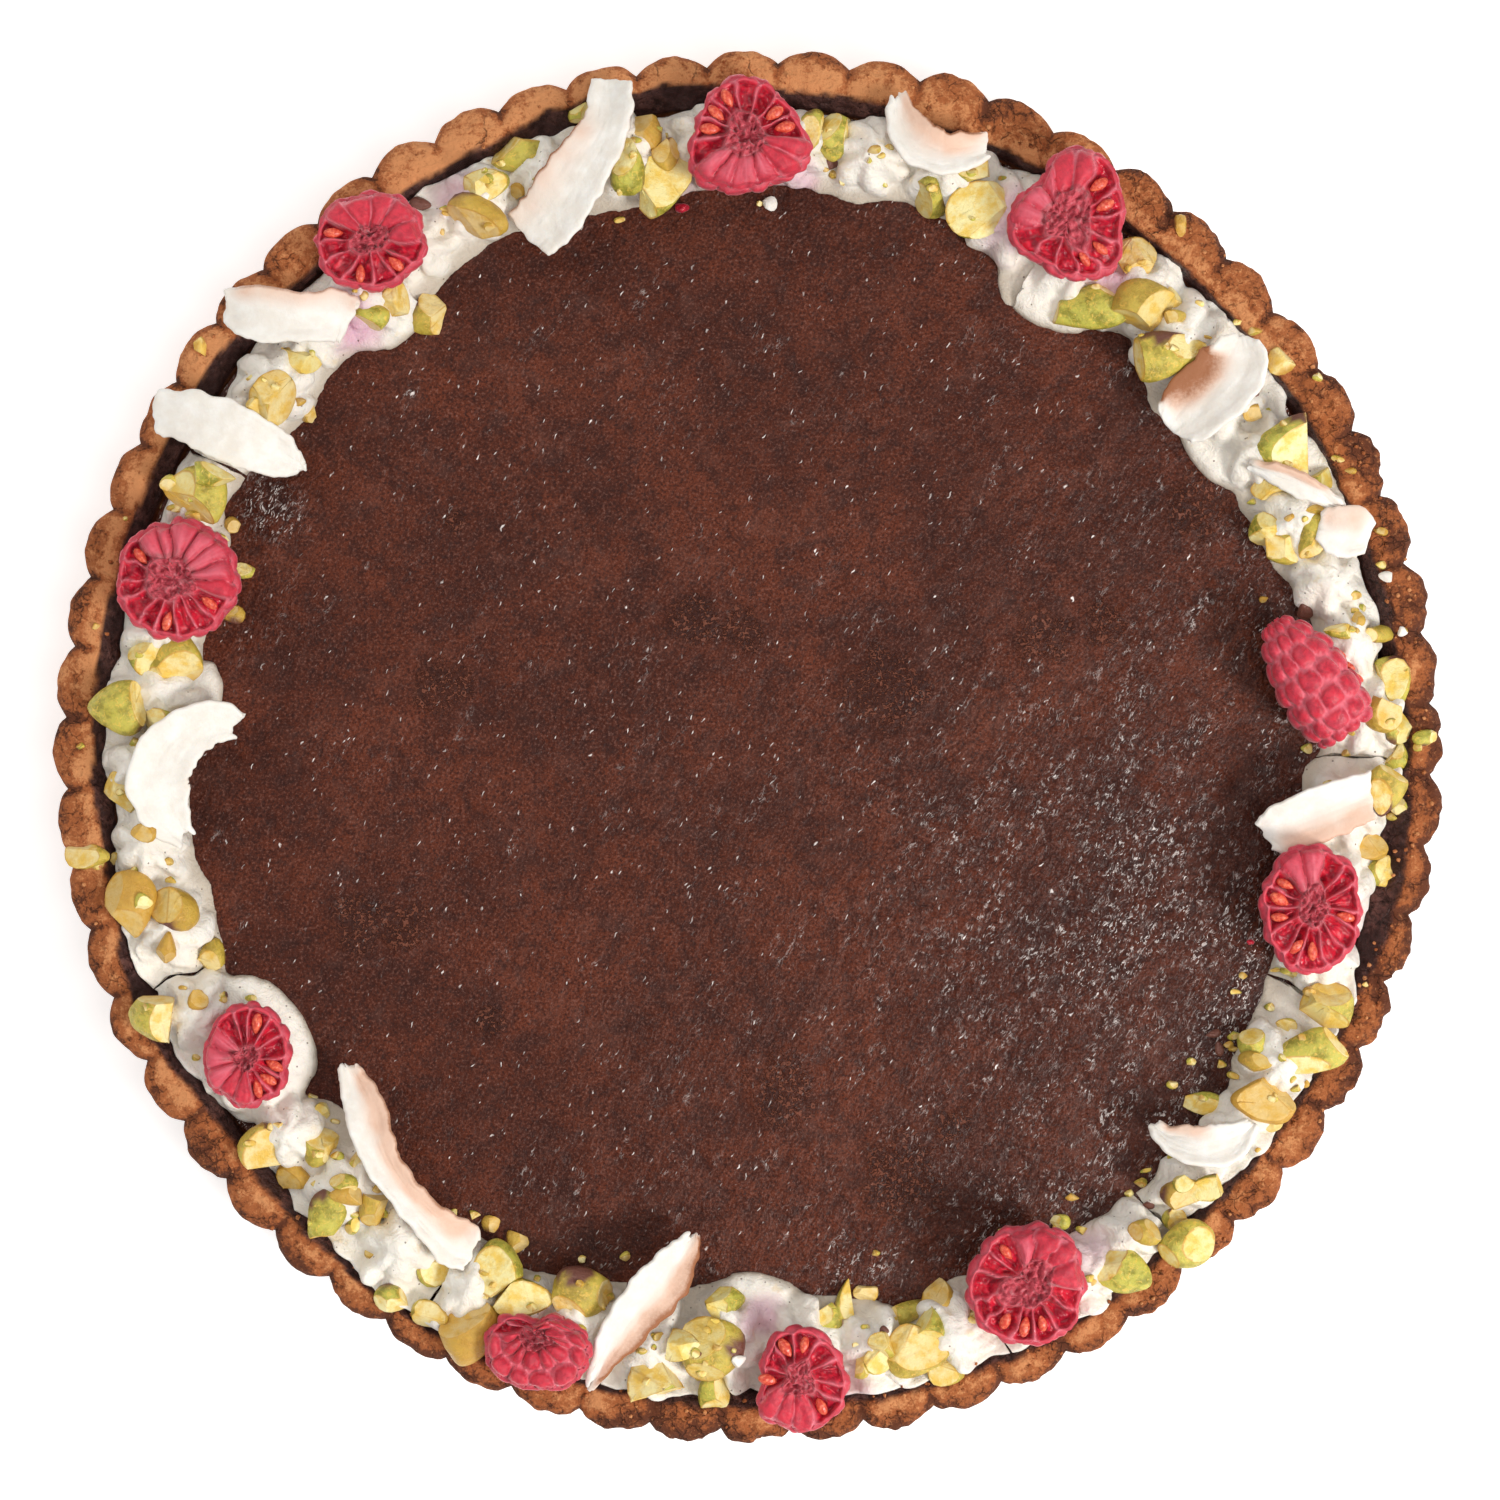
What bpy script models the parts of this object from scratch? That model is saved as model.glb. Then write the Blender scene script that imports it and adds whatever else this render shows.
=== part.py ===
"""Chocolate raspberry tart: a fluted crust filled with ganache, with a ring of piped cream round its edge
that carries raspberries, toasted coconut chips and chopped pistachios.

The origin is the middle of the flat underside, +Z is up, and +X points to bearing 0. Bearings run
counter-clockwise in degrees as seen from above. Sizes in the tables are millimetres.
"""

import math
import random
import zlib

import bmesh
import bpy
from mathutils import Matrix, Vector

MM = 0.001
GAP = 0.3

# Crust
RIM_RADIUS = 120.0
FOOT_RADIUS = 115.0
CRUST_HEIGHT = 25.0
SHOULDER_HEIGHT = 24.2
CROWN_RADIUS = 115.5
INNER_EDGE_HEIGHT = 24.5
RIM_INNER_RADIUS = 111.5
FLOOR_RADIUS = 108.0
BASE_THICKNESS = 5.0
FLUTES = 60
FLUTE_BEARING = 0.6
FLUTE_DEPTH = 2.3
FLUTE_STEPS = 4
FLUTE_ROUNDNESS = 2.2
FLUTE_UNEVENNESS = 0.35

# Ganache
GANACHE_LEVEL = 20.5
GANACHE_SIDES = 90

# Piped cream
CREAM_OUTER_RADIUS = 110.2
DOLLOP_HALF_SPAN = 8.6
DOLLOP_HEIGHTS = (8.0, 10.0)
DOLLOP_RIDGES = 5
RIDGE_DEPTH = 0.11
DOLLOP_TWIST = 16.0
DOLLOP_PROFILE = ((0.0, 1.0), (0.52, 0.84))
POOL_PROFILE = ((0.0, 1.0), (0.7, 0.8))
POOL_SIDES = 10
RUN_END_GAP = 0.25

# The plain shapes that cut a berry's seat, round it with clearance
SEAT_SIDES = 10
SEAT_SPREAD = 1.09

# Toppings
BERRY_SEAT = CRUST_HEIGHT + 0.4
CHIP_THICKNESS = 1.3
CHIP_STEPS = 2
NUT_SINK = 0.3
NUT_FLATNESS = 0.66
NUT_CUT_SHARE = 0.74
NUT_SEAT_SPREAD = 1.08
RIM_CLEARANCE = 1.5

# The cream ring is piped in runs, which part at its cracks and under some berries: the bearings between them
RUN_ENDS = (-1.0, 26.0, 59.0, 90.0, 127.0, 152.0, 178.0, 202.0, 240.0, 257.0, 293.0, 311.0, 336.0, 359.0)

# Each piped dollop: its bearing and the radius that its inner side reaches
DOLLOPS = (
    (3, 98.5), (9.5, 99.5), (16, 97), (22.5, 95), (29.5, 94.5), (36.5, 92), (43.5, 93), (50, 94), (56, 91),
    (63.5, 93), (71, 98), (78.5, 97), (86, 96.5), (94, 96.5), (101.5, 96), (109, 96.5), (116.5, 98),
    (123.5, 97), (130, 94), (136.5, 97), (143, 95.5), (149, 98), (155.5, 100), (162.5, 96), (169, 96),
    (175, 93), (182, 97), (189.5, 98), (197.5, 97), (206, 96.5), (213, 94), (220, 97), (227.5, 95.5),
    (235, 96.5), (243, 97), (248.5, 98.5), (254, 96), (261, 95), (268, 94), (275, 95), (282, 99),
    (289, 99.5), (296, 99.5), (302, 100.5), (308, 101), (315, 101), (322, 101), (329.5, 99), (339.5, 98),
    (346.5, 97), (354, 96),
)

# Cream that has run inward: bearing, distance, half size outward, half size sideways, height
POOLS = (
    (33, 97, 5.5, 9, 3.0),
    (57, 95, 6.5, 10, 3.2),
    (130, 98, 5.5, 8, 2.8),
    (174.5, 97, 5.0, 6, 2.6),
    (211, 100, 9.0, 12, 4.2),
    (270, 97, 5.5, 8, 3.0),
)

# Half raspberries, cut face up: bearing, distance, size along X, size along Y, height, drupelets round the
# edge, and a notch in the outline as its bearing on the berry and its share of the radius
HALF_BERRIES = {
    "raspberry_1": (90.3, 104.3, 20.7, 20.0, 9.6, 11, 315, 0.12),
    "raspberry_2": (126.9, 108.6, 19.0, 17.6, 9.0, 11, 0, 0.0),
    "raspberry_3": (58.9, 106.6, 19.8, 22.8, 10.0, 12, 140, 0.22),
    "raspberry_4": (163.9, 102.3, 21.2, 21.2, 9.8, 12, 0, 0.0),
    "raspberry_5": (211.7, 101.6, 15.1, 17.6, 8.2, 10, 0, 0.0),
    "raspberry_6": (250.6, 110.0, 18.0, 14.6, 8.4, 10, 92, 0.34),
    "raspberry_7": (274.6, 109.6, 16.6, 18.0, 8.6, 10, 180, 0.18),
    "raspberry_8": (297.3, 104.2, 20.5, 21.4, 9.6, 12, 0, 0.0),
    "raspberry_9": (343.9, 100.6, 18.0, 21.2, 9.2, 11, 0, 0.0),
}
BERRY_PROFILE = ((0.0, 0.4), (0.24, 0.86), (0.68, 1.0), (1.0, 0.74), (0.74, 0.27))
DRUPELET_STEPS = 2
DRUPELET_DEPTH = 0.09

# The whole raspberry lies on its side: bearing, distance, length, width, and the bearing its tip points to
WHOLE_BERRY = (7.1, 97.6, 23.0, 15.0, 126.0)
WHOLE_BERRY_PROFILE = (
    (0.0, 0.62), (0.1, 0.88), (0.26, 1.0), (0.44, 0.96), (0.62, 0.84), (0.78, 0.64), (0.92, 0.36),
)
WHOLE_BERRY_SIDES = 14
WHOLE_BERRY_SEAT = 23.5

# Coconut chips: the roll about their own length, the sag of their middle across the width, and stations
# along them as x, y, height and width
CHIPS = {
    "coconut_1": (12, 0.8, ((-23.7, 114.9, 27.2, 6.2), (-24.6, 106.3, 30.6, 7.5), (-28.9, 98.6, 31.6, 8.4),
                            (-34.3, 91.4, 29.6, 8.4), (-38.4, 87.2, 26.6, 6.6))),
    "coconut_2": (-8, 1.0, ((26.1, 111.0, 27.6, 3.0), (26.8, 105.8, 30.2, 6.4), (30.6, 101.9, 31.6, 7.8),
                            (35.7, 101.4, 31.2, 7.0), (40.4, 102.9, 29.6, 3.0))),
    "coconut_3": (10, 1.0, ((-90.0, 76.4, 27.8, 6.0), (-83.5, 73.8, 30.4, 8.6), (-77.0, 73.0, 31.0, 9.0),
                            (-69.5, 74.2, 29.4, 6.0))),
    "coconut_4": (4, 0.7, ((-101.0, 57.9, 27.6, 7.4), (-94.1, 55.3, 30.2, 9.6), (-86.4, 52.4, 31.0, 10.6),
                           (-77.4, 49.3, 28.0, 4.0))),
    "coconut_5": (-10, 1.2, ((-87.6, 4.1, 28.6, 4.0), (-94.6, 2.8, 30.8, 8.2), (-99.8, -3.3, 31.2, 10.4),
                             (-99.6, -10.1, 30.6, 8.6), (-97.0, -15.8, 28.4, 4.0))),
    "coconut_6": (-14, 0.8, ((-68.1, -55.5, 26.4, 5.0), (-65.9, -60.2, 28.4, 7.0), (-64.7, -66.7, 30.4, 7.2),
                             (-61.6, -73.0, 31.0, 6.0), (-57.3, -78.7, 30.6, 6.4), (-52.8, -83.1, 28.6, 7.8),
                             (-49.2, -85.4, 26.6, 5.0))),
    "coconut_7": (16, 1.0, ((-27.0, -109.0, 28.0, 2.4), (-23.0, -100.9, 30.4, 7.0), (-17.0, -94.1, 30.6, 9.2),
                            (-10.9, -87.4, 27.6, 5.4))),
    "coconut_8": (-12, 1.6, ((72.4, 55.0, 28.6, 8.0), (77.2, 58.9, 30.6, 12.0), (82.0, 64.0, 31.6, 12.4),
                             (84.7, 67.8, 31.8, 8.0))),
    "coconut_9": (24, 0.5, ((86.1, 47.6, 28.2, 3.0), (90.9, 45.9, 30.2, 4.2), (96.0, 43.8, 30.8, 4.2),
                            (100.8, 41.2, 29.6, 3.0))),
    "coconut_10": (6, 0.7, ((97.9, 37.0, 29.4, 5.4), (101.8, 36.4, 30.4, 8.8), (105.7, 35.4, 29.6, 5.4))),
    "coconut_11": (10, 1.6, ((88.8, -16.6, 27.6, 6.4), (94.3, -13.7, 30.4, 8.4), (100.3, -10.5, 31.4, 8.6),
                             (106.5, -7.7, 30.0, 7.6))),
    "coconut_12": (-16, 0.9, ((69.6, -65.5, 27.4, 2.4), (74.6, -67.5, 30.0, 6.0), (79.7, -68.0, 30.8, 6.8),
                              (84.0, -65.8, 29.6, 4.0))),
}

# The largest pistachio pieces: bearing, distance, size along and across, and turn
PISTACHIOS = {
    "pistachio_1": (52.3, 95.5, 15.0, 7.2, 10),
    "pistachio_2": (331.3, 109.6, 13.2, 7.0, 15),
    "pistachio_3": (43.2, 98.1, 13.0, 7.4, 12),
    "pistachio_4": (253.2, 98.3, 10.3, 8.6, 0),
    "pistachio_5": (66.4, 100.9, 10.2, 6.8, 20),
    "pistachio_6": (311.1, 113.8, 9.8, 7.4, 20),
    "pistachio_7": (176.5, 108.4, 9.8, 8.6, 0),
    "pistachio_8": (28.8, 106.1, 9.4, 8.0, 0),
    "pistachio_9": (98.8, 99.1, 11.4, 6.8, 65),
    "pistachio_10": (155.7, 104.3, 8.6, 7.2, 0),
    "pistachio_11": (305.1, 109.7, 8.9, 6.0, -20),
    "pistachio_12": (262.1, 110.2, 8.9, 6.8, 0),
    "pistachio_13": (47.7, 101.3, 8.6, 7.4, 0),
    "pistachio_14": (266.2, 104.2, 8.8, 7.8, 75),
    "pistachio_15": (244.3, 111.5, 8.8, 7.4, 80),
    "pistachio_16": (194.5, 110.0, 8.8, 6.2, 90),
    "pistachio_17": (228.0, 108.7, 9.6, 6.0, 70),
    "pistachio_18": (325.4, 107.3, 8.1, 5.7, 0),
    "pistachio_19": (285.6, 107.9, 8.1, 6.2, 0),
    "pistachio_20": (171.7, 99.4, 7.8, 6.4, 80),
    "pistachio_21": (356.0, 109.5, 8.6, 6.0, 80),
    "pistachio_22": (335.5, 108.2, 7.4, 6.8, 0),
    "pistachio_23": (204.4, 111.6, 7.4, 6.8, 0),
}

# Smaller pistachio pieces, one solid with the cream below them: bearing, distance, size along X and along Y
SMALL_NUTS = (
    (3.2, 107.0, 4.8, 5.7), (20.4, 103.4, 4.0, 7.6), (20.5, 97.9, 7.2, 4.0), (51.6, 105.6, 5.1, 6.0),
    (69.0, 104.6, 6.9, 3.6), (72.0, 99.8, 5.1, 6.6), (82.1, 105.0, 6.0, 6.2), (101.9, 101.5, 4.1, 7.6),
    (99.8, 106.4, 4.8, 5.7), (111.2, 106.8, 6.5, 6.6), (115.3, 105.0, 6.5, 4.3), (117.3, 100.9, 8.2, 5.5),
    (131.4, 98.6, 4.8, 4.0), (139.3, 101.8, 6.3, 3.8), (143.8, 100.8, 6.5, 7.0), (154.0, 102.0, 6.0, 3.4),
    (173.0, 105.0, 4.3, 5.1), (184.3, 106.4, 4.6, 6.8), (195.6, 102.6, 7.6, 5.1), (200.0, 100.6, 3.6, 6.0),
    (219.7, 106.0, 6.6, 7.0), (223.2, 100.8, 4.6, 5.6), (230.9, 101.6, 4.4, 6.0), (236.5, 107.0, 5.1, 4.0),
    (244.2, 99.7, 6.4, 8.0), (247.6, 102.8, 7.6, 5.0), (263.4, 102.0, 5.4, 4.6), (269.2, 105.0, 4.3, 5.8),
    (279.6, 100.6, 5.4, 5.8), (285.2, 101.9, 9.0, 3.4), (288.9, 101.6, 4.3, 5.5), (314.1, 106.4, 7.0, 5.4),
    (321.7, 102.0, 5.6, 3.4), (329.2, 102.0, 4.0, 4.6), (350.7, 106.8, 4.6, 4.0),
)

COLOURS = {
    "crust": ((0.33, 0.13, 0.055), 0.85),
    "ganache": ((0.045, 0.016, 0.011), 0.35),
    "cream": ((0.78, 0.73, 0.64), 0.6),
    "raspberry": ((0.42, 0.02, 0.045), 0.45),
    "coconut": ((0.9, 0.86, 0.78), 0.6),
    "pistachio": ((0.55, 0.46, 0.09), 0.5),
}


def seeded(name):
    """A random source that depends on the name alone."""
    return random.Random(zlib.crc32(name.encode()))


def polar(bearing, distance, height=0.0):
    """The point at a bearing and a distance from the tart's axis."""
    angle = math.radians(bearing)
    return Vector((distance * math.cos(angle), distance * math.sin(angle), height))


def ring(count, radius_at, height):
    """Points round the Z axis, with the radius read from a function of the angle in radians."""
    points = []
    for step in range(count):
        angle = math.tau * step / count
        radius = radius_at(angle)
        points.append(Vector((radius * math.cos(angle), radius * math.sin(angle), height)))
    return points


def lofted(rings, tip=None):
    """A closed solid through rings of equal count, bottom first, that ends in a face or at a tip."""
    bm = bmesh.new()
    loops = []
    for points in rings:
        loops.append([bm.verts.new(point) for point in points])
    count = len(loops[0])
    for lower, upper in zip(loops, loops[1:]):
        for i in range(count):
            j = (i + 1) % count
            bm.faces.new((lower[i], lower[j], upper[j], upper[i]))
    bm.faces.new(list(reversed(loops[0])))
    if tip is None:
        bm.faces.new(loops[-1])
    else:
        peak = bm.verts.new(tip)
        for i in range(count):
            bm.faces.new((loops[-1][i], loops[-1][(i + 1) % count], peak))
    return bm


def material(name):
    """The Principled material of one kind of piece, made once."""
    existing = bpy.data.materials.get(name)
    if existing:
        return existing
    colour, roughness = COLOURS[name]
    made = bpy.data.materials.new(name)
    made.use_nodes = True
    shader = made.node_tree.nodes["Principled BSDF"]
    shader.inputs["Base Color"].default_value = (*colour, 1.0)
    shader.inputs["Roughness"].default_value = roughness
    shader.inputs["Metallic"].default_value = 0.0
    return made


def finish(name, bm, kind):
    """Turns a bmesh in millimetres into a named object in metres with its material."""
    bmesh.ops.recalc_face_normals(bm, faces=bm.faces)
    bmesh.ops.scale(bm, vec=(MM, MM, MM), verts=bm.verts)
    mesh = bpy.data.meshes.new(name)
    bm.to_mesh(mesh)
    bm.free()
    mesh.materials.append(material(kind))
    mesh.shade_smooth()
    mesh.set_sharp_from_angle(angle=math.radians(35))
    made = bpy.data.objects.new(name, mesh)
    bpy.context.scene.collection.objects.link(made)
    return made


def scratch_object(bm, collection):
    """A plain object in millimetres for a Boolean, which frees the bmesh."""
    mesh = bpy.data.meshes.new("scratch")
    bm.to_mesh(mesh)
    bm.free()
    made = bpy.data.objects.new("scratch", mesh)
    collection.objects.link(made)
    return made


def is_closed(bm):
    """True where every edge joins two faces and there is some solid."""
    return len(bm.faces) > 3 and all(edge.is_manifold for edge in bm.edges)


def largest_body(bm):
    """Drops every loose scrap and keeps the body that takes up the most room."""
    bodies = []
    left = set(bm.verts)
    while left:
        start = left.pop()
        body = {start}
        reach = [start]
        while reach:
            vert = reach.pop()
            for edge in vert.link_edges:
                other = edge.other_vert(vert)
                if other in left:
                    left.discard(other)
                    body.add(other)
                    reach.append(other)
        bodies.append(body)
    if len(bodies) > 1:
        sizes = []
        for body in bodies:
            low = Vector(min(v.co[axis] for v in body) for axis in range(3))
            high = Vector(max(v.co[axis] for v in body) for axis in range(3))
            span = high - low
            sizes.append(span.x * span.y * span.z)
        kept = bodies[sizes.index(max(sizes))]
        bmesh.ops.delete(bm, geom=[v for v in bm.verts if v not in kept], context="VERTS")
    return bm


def combined(base, others, operation):
    """The base after one Boolean with all the others together; every bmesh given is used up."""
    if not others:
        return base
    scene = bpy.context.scene.collection
    collection = bpy.data.collections.new("scratch")
    scene.children.link(collection)
    body = scratch_object(base, scene)
    for other in others:
        scratch_object(other, collection)
    boolean = body.modifiers.new("join", "BOOLEAN")
    boolean.operation = operation
    boolean.operand_type = "COLLECTION"
    boolean.collection = collection
    for solver in ("EXACT", "MANIFOLD"):
        boolean.solver = solver
        bpy.context.view_layer.update()
        evaluated = body.evaluated_get(bpy.context.evaluated_depsgraph_get())
        result = bmesh.new()
        result.from_mesh(evaluated.to_mesh())
        evaluated.to_mesh_clear()
        bmesh.ops.remove_doubles(result, verts=result.verts, dist=0.002)
        bmesh.ops.dissolve_degenerate(result, edges=result.edges, dist=0.002)
        largest_body(result)
        if is_closed(result):
            break
    for made in [body, *collection.objects]:
        mesh = made.data
        bpy.data.objects.remove(made)
        bpy.data.meshes.remove(mesh)
    bpy.data.collections.remove(collection)
    return result


def grown(bm, distance):
    """A copy whose surface stands off by the distance, for cutting a seat with clearance."""
    copy = bm.copy()
    bmesh.ops.triangulate(copy, faces=copy.faces)
    bmesh.ops.recalc_face_normals(copy, faces=copy.faces)
    copy.normal_update()
    moves = [(vert, vert.normal * distance * max(1.0, vert.calc_shell_factor())) for vert in copy.verts]
    for vert, move in moves:
        vert.co += move
    return copy


def box_of(bm):
    """The lowest and the highest corner of a bmesh."""
    low = Vector(min(v.co[axis] for v in bm.verts) for axis in range(3))
    high = Vector(max(v.co[axis] for v in bm.verts) for axis in range(3))
    return low, high


def boxes_meet(one, other, margin):
    """True where two bmeshes come within the margin of each other, judged by their boxes."""
    low_a, high_a = box_of(one)
    low_b, high_b = box_of(other)
    return all(low_a[i] - margin < high_b[i] and low_b[i] - margin < high_a[i] for i in range(3))


def fluted_radius(tip_radius, depth_share=1.0):
    """The crust's outline at one level: round scallops with sharp notches, each of its own size."""
    draw = seeded("flutes")
    offsets = [draw.uniform(-FLUTE_UNEVENNESS, 0.0) for _ in range(FLUTES)]

    def radius_at(angle):
        turn = (angle - math.radians(FLUTE_BEARING)) / math.tau * FLUTES
        flute = math.floor(turn + 0.5)
        across = min(1.0, abs(turn - flute) * 2)
        bulge = 1 - across ** FLUTE_ROUNDNESS
        depth = (FLUTE_DEPTH + offsets[flute % FLUTES] * bulge) * depth_share
        return tip_radius - FLUTE_DEPTH * depth_share + depth * bulge

    return radius_at


def inner_wall_radius(height):
    """The radius of the crust's sloping inner wall at a height."""
    share = (height - BASE_THICKNESS) / (INNER_EDGE_HEIGHT - BASE_THICKNESS)
    return FLOOR_RADIUS + (RIM_INNER_RADIUS - FLOOR_RADIUS) * share


def crust():
    """The baked shell: floor, wall and fluted rim."""
    count = FLUTES * FLUTE_STEPS
    levels = (
        (fluted_radius(FOOT_RADIUS), 0.0),
        (fluted_radius(RIM_RADIUS), SHOULDER_HEIGHT),
        (fluted_radius(CROWN_RADIUS, 0.2), CRUST_HEIGHT),
        (lambda angle: RIM_INNER_RADIUS, INNER_EDGE_HEIGHT),
        (lambda angle: FLOOR_RADIUS, BASE_THICKNESS),
    )
    turn = Matrix.Rotation(math.radians(FLUTE_BEARING), 3, "Z")
    start = math.radians(FLUTE_BEARING)
    rings = []
    for radius_at, height in levels:
        points = ring(count, lambda angle: radius_at(angle + start), height)
        rings.append([turn @ point for point in points])
    return lofted(rings)


def ganache():
    """The filling, level with the surface that shows."""
    low = BASE_THICKNESS + GAP
    bottom = inner_wall_radius(low) - GAP
    top = inner_wall_radius(GANACHE_LEVEL) - GAP
    return lofted((
        ring(GANACHE_SIDES, lambda angle: bottom, low),
        ring(GANACHE_SIDES, lambda angle: top, GANACHE_LEVEL),
    ))


def dollop_shape(bearing, inner):
    """Where a dollop stands, its half size outward and its height."""
    draw = seeded(f"dollop {bearing}")
    middle = (CREAM_OUTER_RADIUS + inner) / 2
    return middle, (CREAM_OUTER_RADIUS - inner) / 2, draw.uniform(*DOLLOP_HEIGHTS)


def dollop(bearing, inner):
    """One piped star: ridges that twist as they rise to a small peak."""
    middle, half, height = dollop_shape(bearing, inner)
    count = DOLLOP_RIDGES * 2
    rings = []
    for share, spread in DOLLOP_PROFILE:
        def radius_at(angle, spread=spread):
            return spread * (1 - RIDGE_DEPTH + RIDGE_DEPTH * math.cos(angle * DOLLOP_RIDGES))
        turn = Matrix.Rotation(math.radians(DOLLOP_TWIST) * share, 3, "Z")
        rings.append([turn @ point for point in ring(count, radius_at, share)])
    bm = lofted(rings, tip=Vector((0, 0, 1)))
    bottom = GANACHE_LEVEL + GAP
    place = (Matrix.Rotation(math.radians(bearing), 4, "Z") @ Matrix.Translation((middle, 0, bottom))
             @ Matrix.Diagonal((half, DOLLOP_HALF_SPAN, height, 1)))
    bmesh.ops.transform(bm, matrix=place, verts=bm.verts)
    return bm


def pool(bearing, distance, outward, sideways, height):
    """A low puddle of cream beside the piping."""
    rings = [ring(POOL_SIDES, lambda angle, spread=spread: spread, share) for share, spread in POOL_PROFILE]
    bm = lofted(rings, tip=Vector((0, 0, 1)))
    place = (Matrix.Rotation(math.radians(bearing), 4, "Z")
             @ Matrix.Translation((distance, 0, GANACHE_LEVEL + GAP))
             @ Matrix.Diagonal((outward, sideways, height, 1)))
    bmesh.ops.transform(bm, matrix=place, verts=bm.verts)
    return bm


def cream_level(bearing, distance):
    """The height of the cream's surface at a place, from the dollops round it."""
    level = GANACHE_LEVEL + GAP
    for middle_bearing, inner in DOLLOPS:
        middle, half, height = dollop_shape(middle_bearing, inner)
        aside = math.radians((bearing - middle_bearing + 180) % 360 - 180) * distance
        reach = math.hypot((distance - middle) / half, aside / DOLLOP_HALF_SPAN)
        if reach < 1:
            level = max(level, GANACHE_LEVEL + GAP + height * (1 - reach) ** 0.5)
    return level


def kernel(length, width, turn, centre, rings):
    """A whole pistachio kernel: an oval body that lies along its turn, in the given number of rings."""
    bm = bmesh.new()
    bmesh.ops.create_uvsphere(bm, u_segments=6, v_segments=rings, radius=0.53)
    place = (Matrix.Translation(centre) @ Matrix.Rotation(math.radians(turn), 4, "Z")
             @ Matrix.Diagonal((length, width, nut_height(length, width), 1))
             @ Matrix.Rotation(math.radians(90), 4, "Y"))
    bmesh.ops.transform(bm, matrix=place, verts=bm.verts)
    return bm


def nut_wedge(name, length, width, centre):
    """A small pistachio piece: a five-sided wedge, narrower on top."""
    bm = bmesh.new()
    bmesh.ops.create_cone(bm, cap_ends=True, segments=5, radius1=0.56, radius2=0.36, depth=1.0)
    draw = seeded(name)
    place = (Matrix.Translation(centre) @ Matrix.Diagonal((length, width, nut_height(length, width), 1))
             @ Matrix.Rotation(draw.uniform(0, math.tau), 4, "Z"))
    bmesh.ops.transform(bm, matrix=place, verts=bm.verts)
    return bm


def chopped(bm, name):
    """The kernel with its ends and sides knocked off by flat cuts."""
    draw = seeded(name)
    centre = sum((vert.co for vert in bm.verts), Vector()) / len(bm.verts)
    for _ in range(2):
        heading = Matrix.Rotation(draw.uniform(0, math.tau), 3, "Z") @ Vector((1, 0, draw.uniform(0.2, 1.1)))
        normal = heading.normalized()
        reach = max((vert.co - centre).dot(normal) for vert in bm.verts)
        cut = bmesh.ops.bisect_plane(bm, geom=bm.verts[:] + bm.edges[:] + bm.faces[:],
                                     plane_co=centre + normal * reach * NUT_CUT_SHARE, plane_no=normal,
                                     clear_outer=True)
        edges = [item for item in cut["geom_cut"] if isinstance(item, bmesh.types.BMEdge)]
        bmesh.ops.edgeloop_fill(bm, edges=edges)
    return bm


def nut_height(length, width):
    """How thick a nut is, from the smaller of its two sizes."""
    return NUT_FLATNESS * min(length, width)


def nut_centre(bearing, distance, length, width):
    """The middle of a nut that is sunk a little in the cream and never lower than the rim allows."""
    height = nut_height(length, width)
    level = cream_level(bearing, distance)
    middle = level + height * (0.5 - NUT_SINK)
    if distance + max(length, width) / 2 > RIM_INNER_RADIUS - RIM_CLEARANCE:
        middle = max(middle, CRUST_HEIGHT + GAP + height * 0.56)
    return polar(bearing, distance, middle)


def half_berry(bearing, distance, size_x, size_y, height, drupelets, notch_bearing, notch_share):
    """Half a raspberry with its cut face up: a scalloped edge round the hollow of its core."""
    count = drupelets * DRUPELET_STEPS
    notch_angle = math.radians(notch_bearing)
    rings = []
    for share, spread in BERRY_PROFILE:
        scallop = DRUPELET_DEPTH if spread > 0.7 else 0.0

        def radius_at(angle, spread=spread, scallop=scallop):
            aside = (angle - notch_angle + math.pi) % math.tau - math.pi
            notch = 1 - notch_share * math.exp(-(aside / 0.35) ** 2)
            return spread * notch * (1 - scallop / 2 + scallop / 2 * math.cos(angle * drupelets))

        rings.append(ring(count, radius_at, share))
    bm = lofted(rings)
    place = (Matrix.Translation(polar(bearing, distance, BERRY_SEAT))
             @ Matrix.Diagonal((size_x / 2, size_y / 2, height, 1)))
    bmesh.ops.transform(bm, matrix=place, verts=bm.verts)
    return bm


def laid_on_side(bm, spread):
    """Turns a shape along +Z, one unit long and in radius, to where the whole raspberry lies."""
    bearing, distance, length, width, tip_bearing = WHOLE_BERRY
    middle = polar(bearing, distance, WHOLE_BERRY_SEAT + width / 2)
    place = (Matrix.Translation(middle) @ Matrix.Rotation(math.radians(tip_bearing), 4, "Z")
             @ Matrix.Translation((-length / 2, 0, 0)) @ Matrix.Rotation(math.radians(90), 4, "Y")
             @ Matrix.Diagonal((width / 2 * spread, width / 2 * spread, length, 1)))
    bmesh.ops.transform(bm, matrix=place, verts=bm.verts)
    return bm


def whole_berry():
    """The raspberry on its side, with staggered rows of drupelets and a hollow at its base."""
    rings = []
    for row, (share, spread) in enumerate(WHOLE_BERRY_PROFILE):
        phase = math.pi * row

        def radius_at(angle, spread=spread, phase=phase):
            return spread * (0.96 + 0.04 * math.cos(angle * WHOLE_BERRY_SIDES / 2 + phase))

        rings.append(ring(WHOLE_BERRY_SIDES, radius_at, share))
    hollow = ring(WHOLE_BERRY_SIDES, lambda angle: 0.3, 0.16)
    return laid_on_side(lofted([hollow, *rings], tip=Vector((0, 0, 1))), 1.0)


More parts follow.
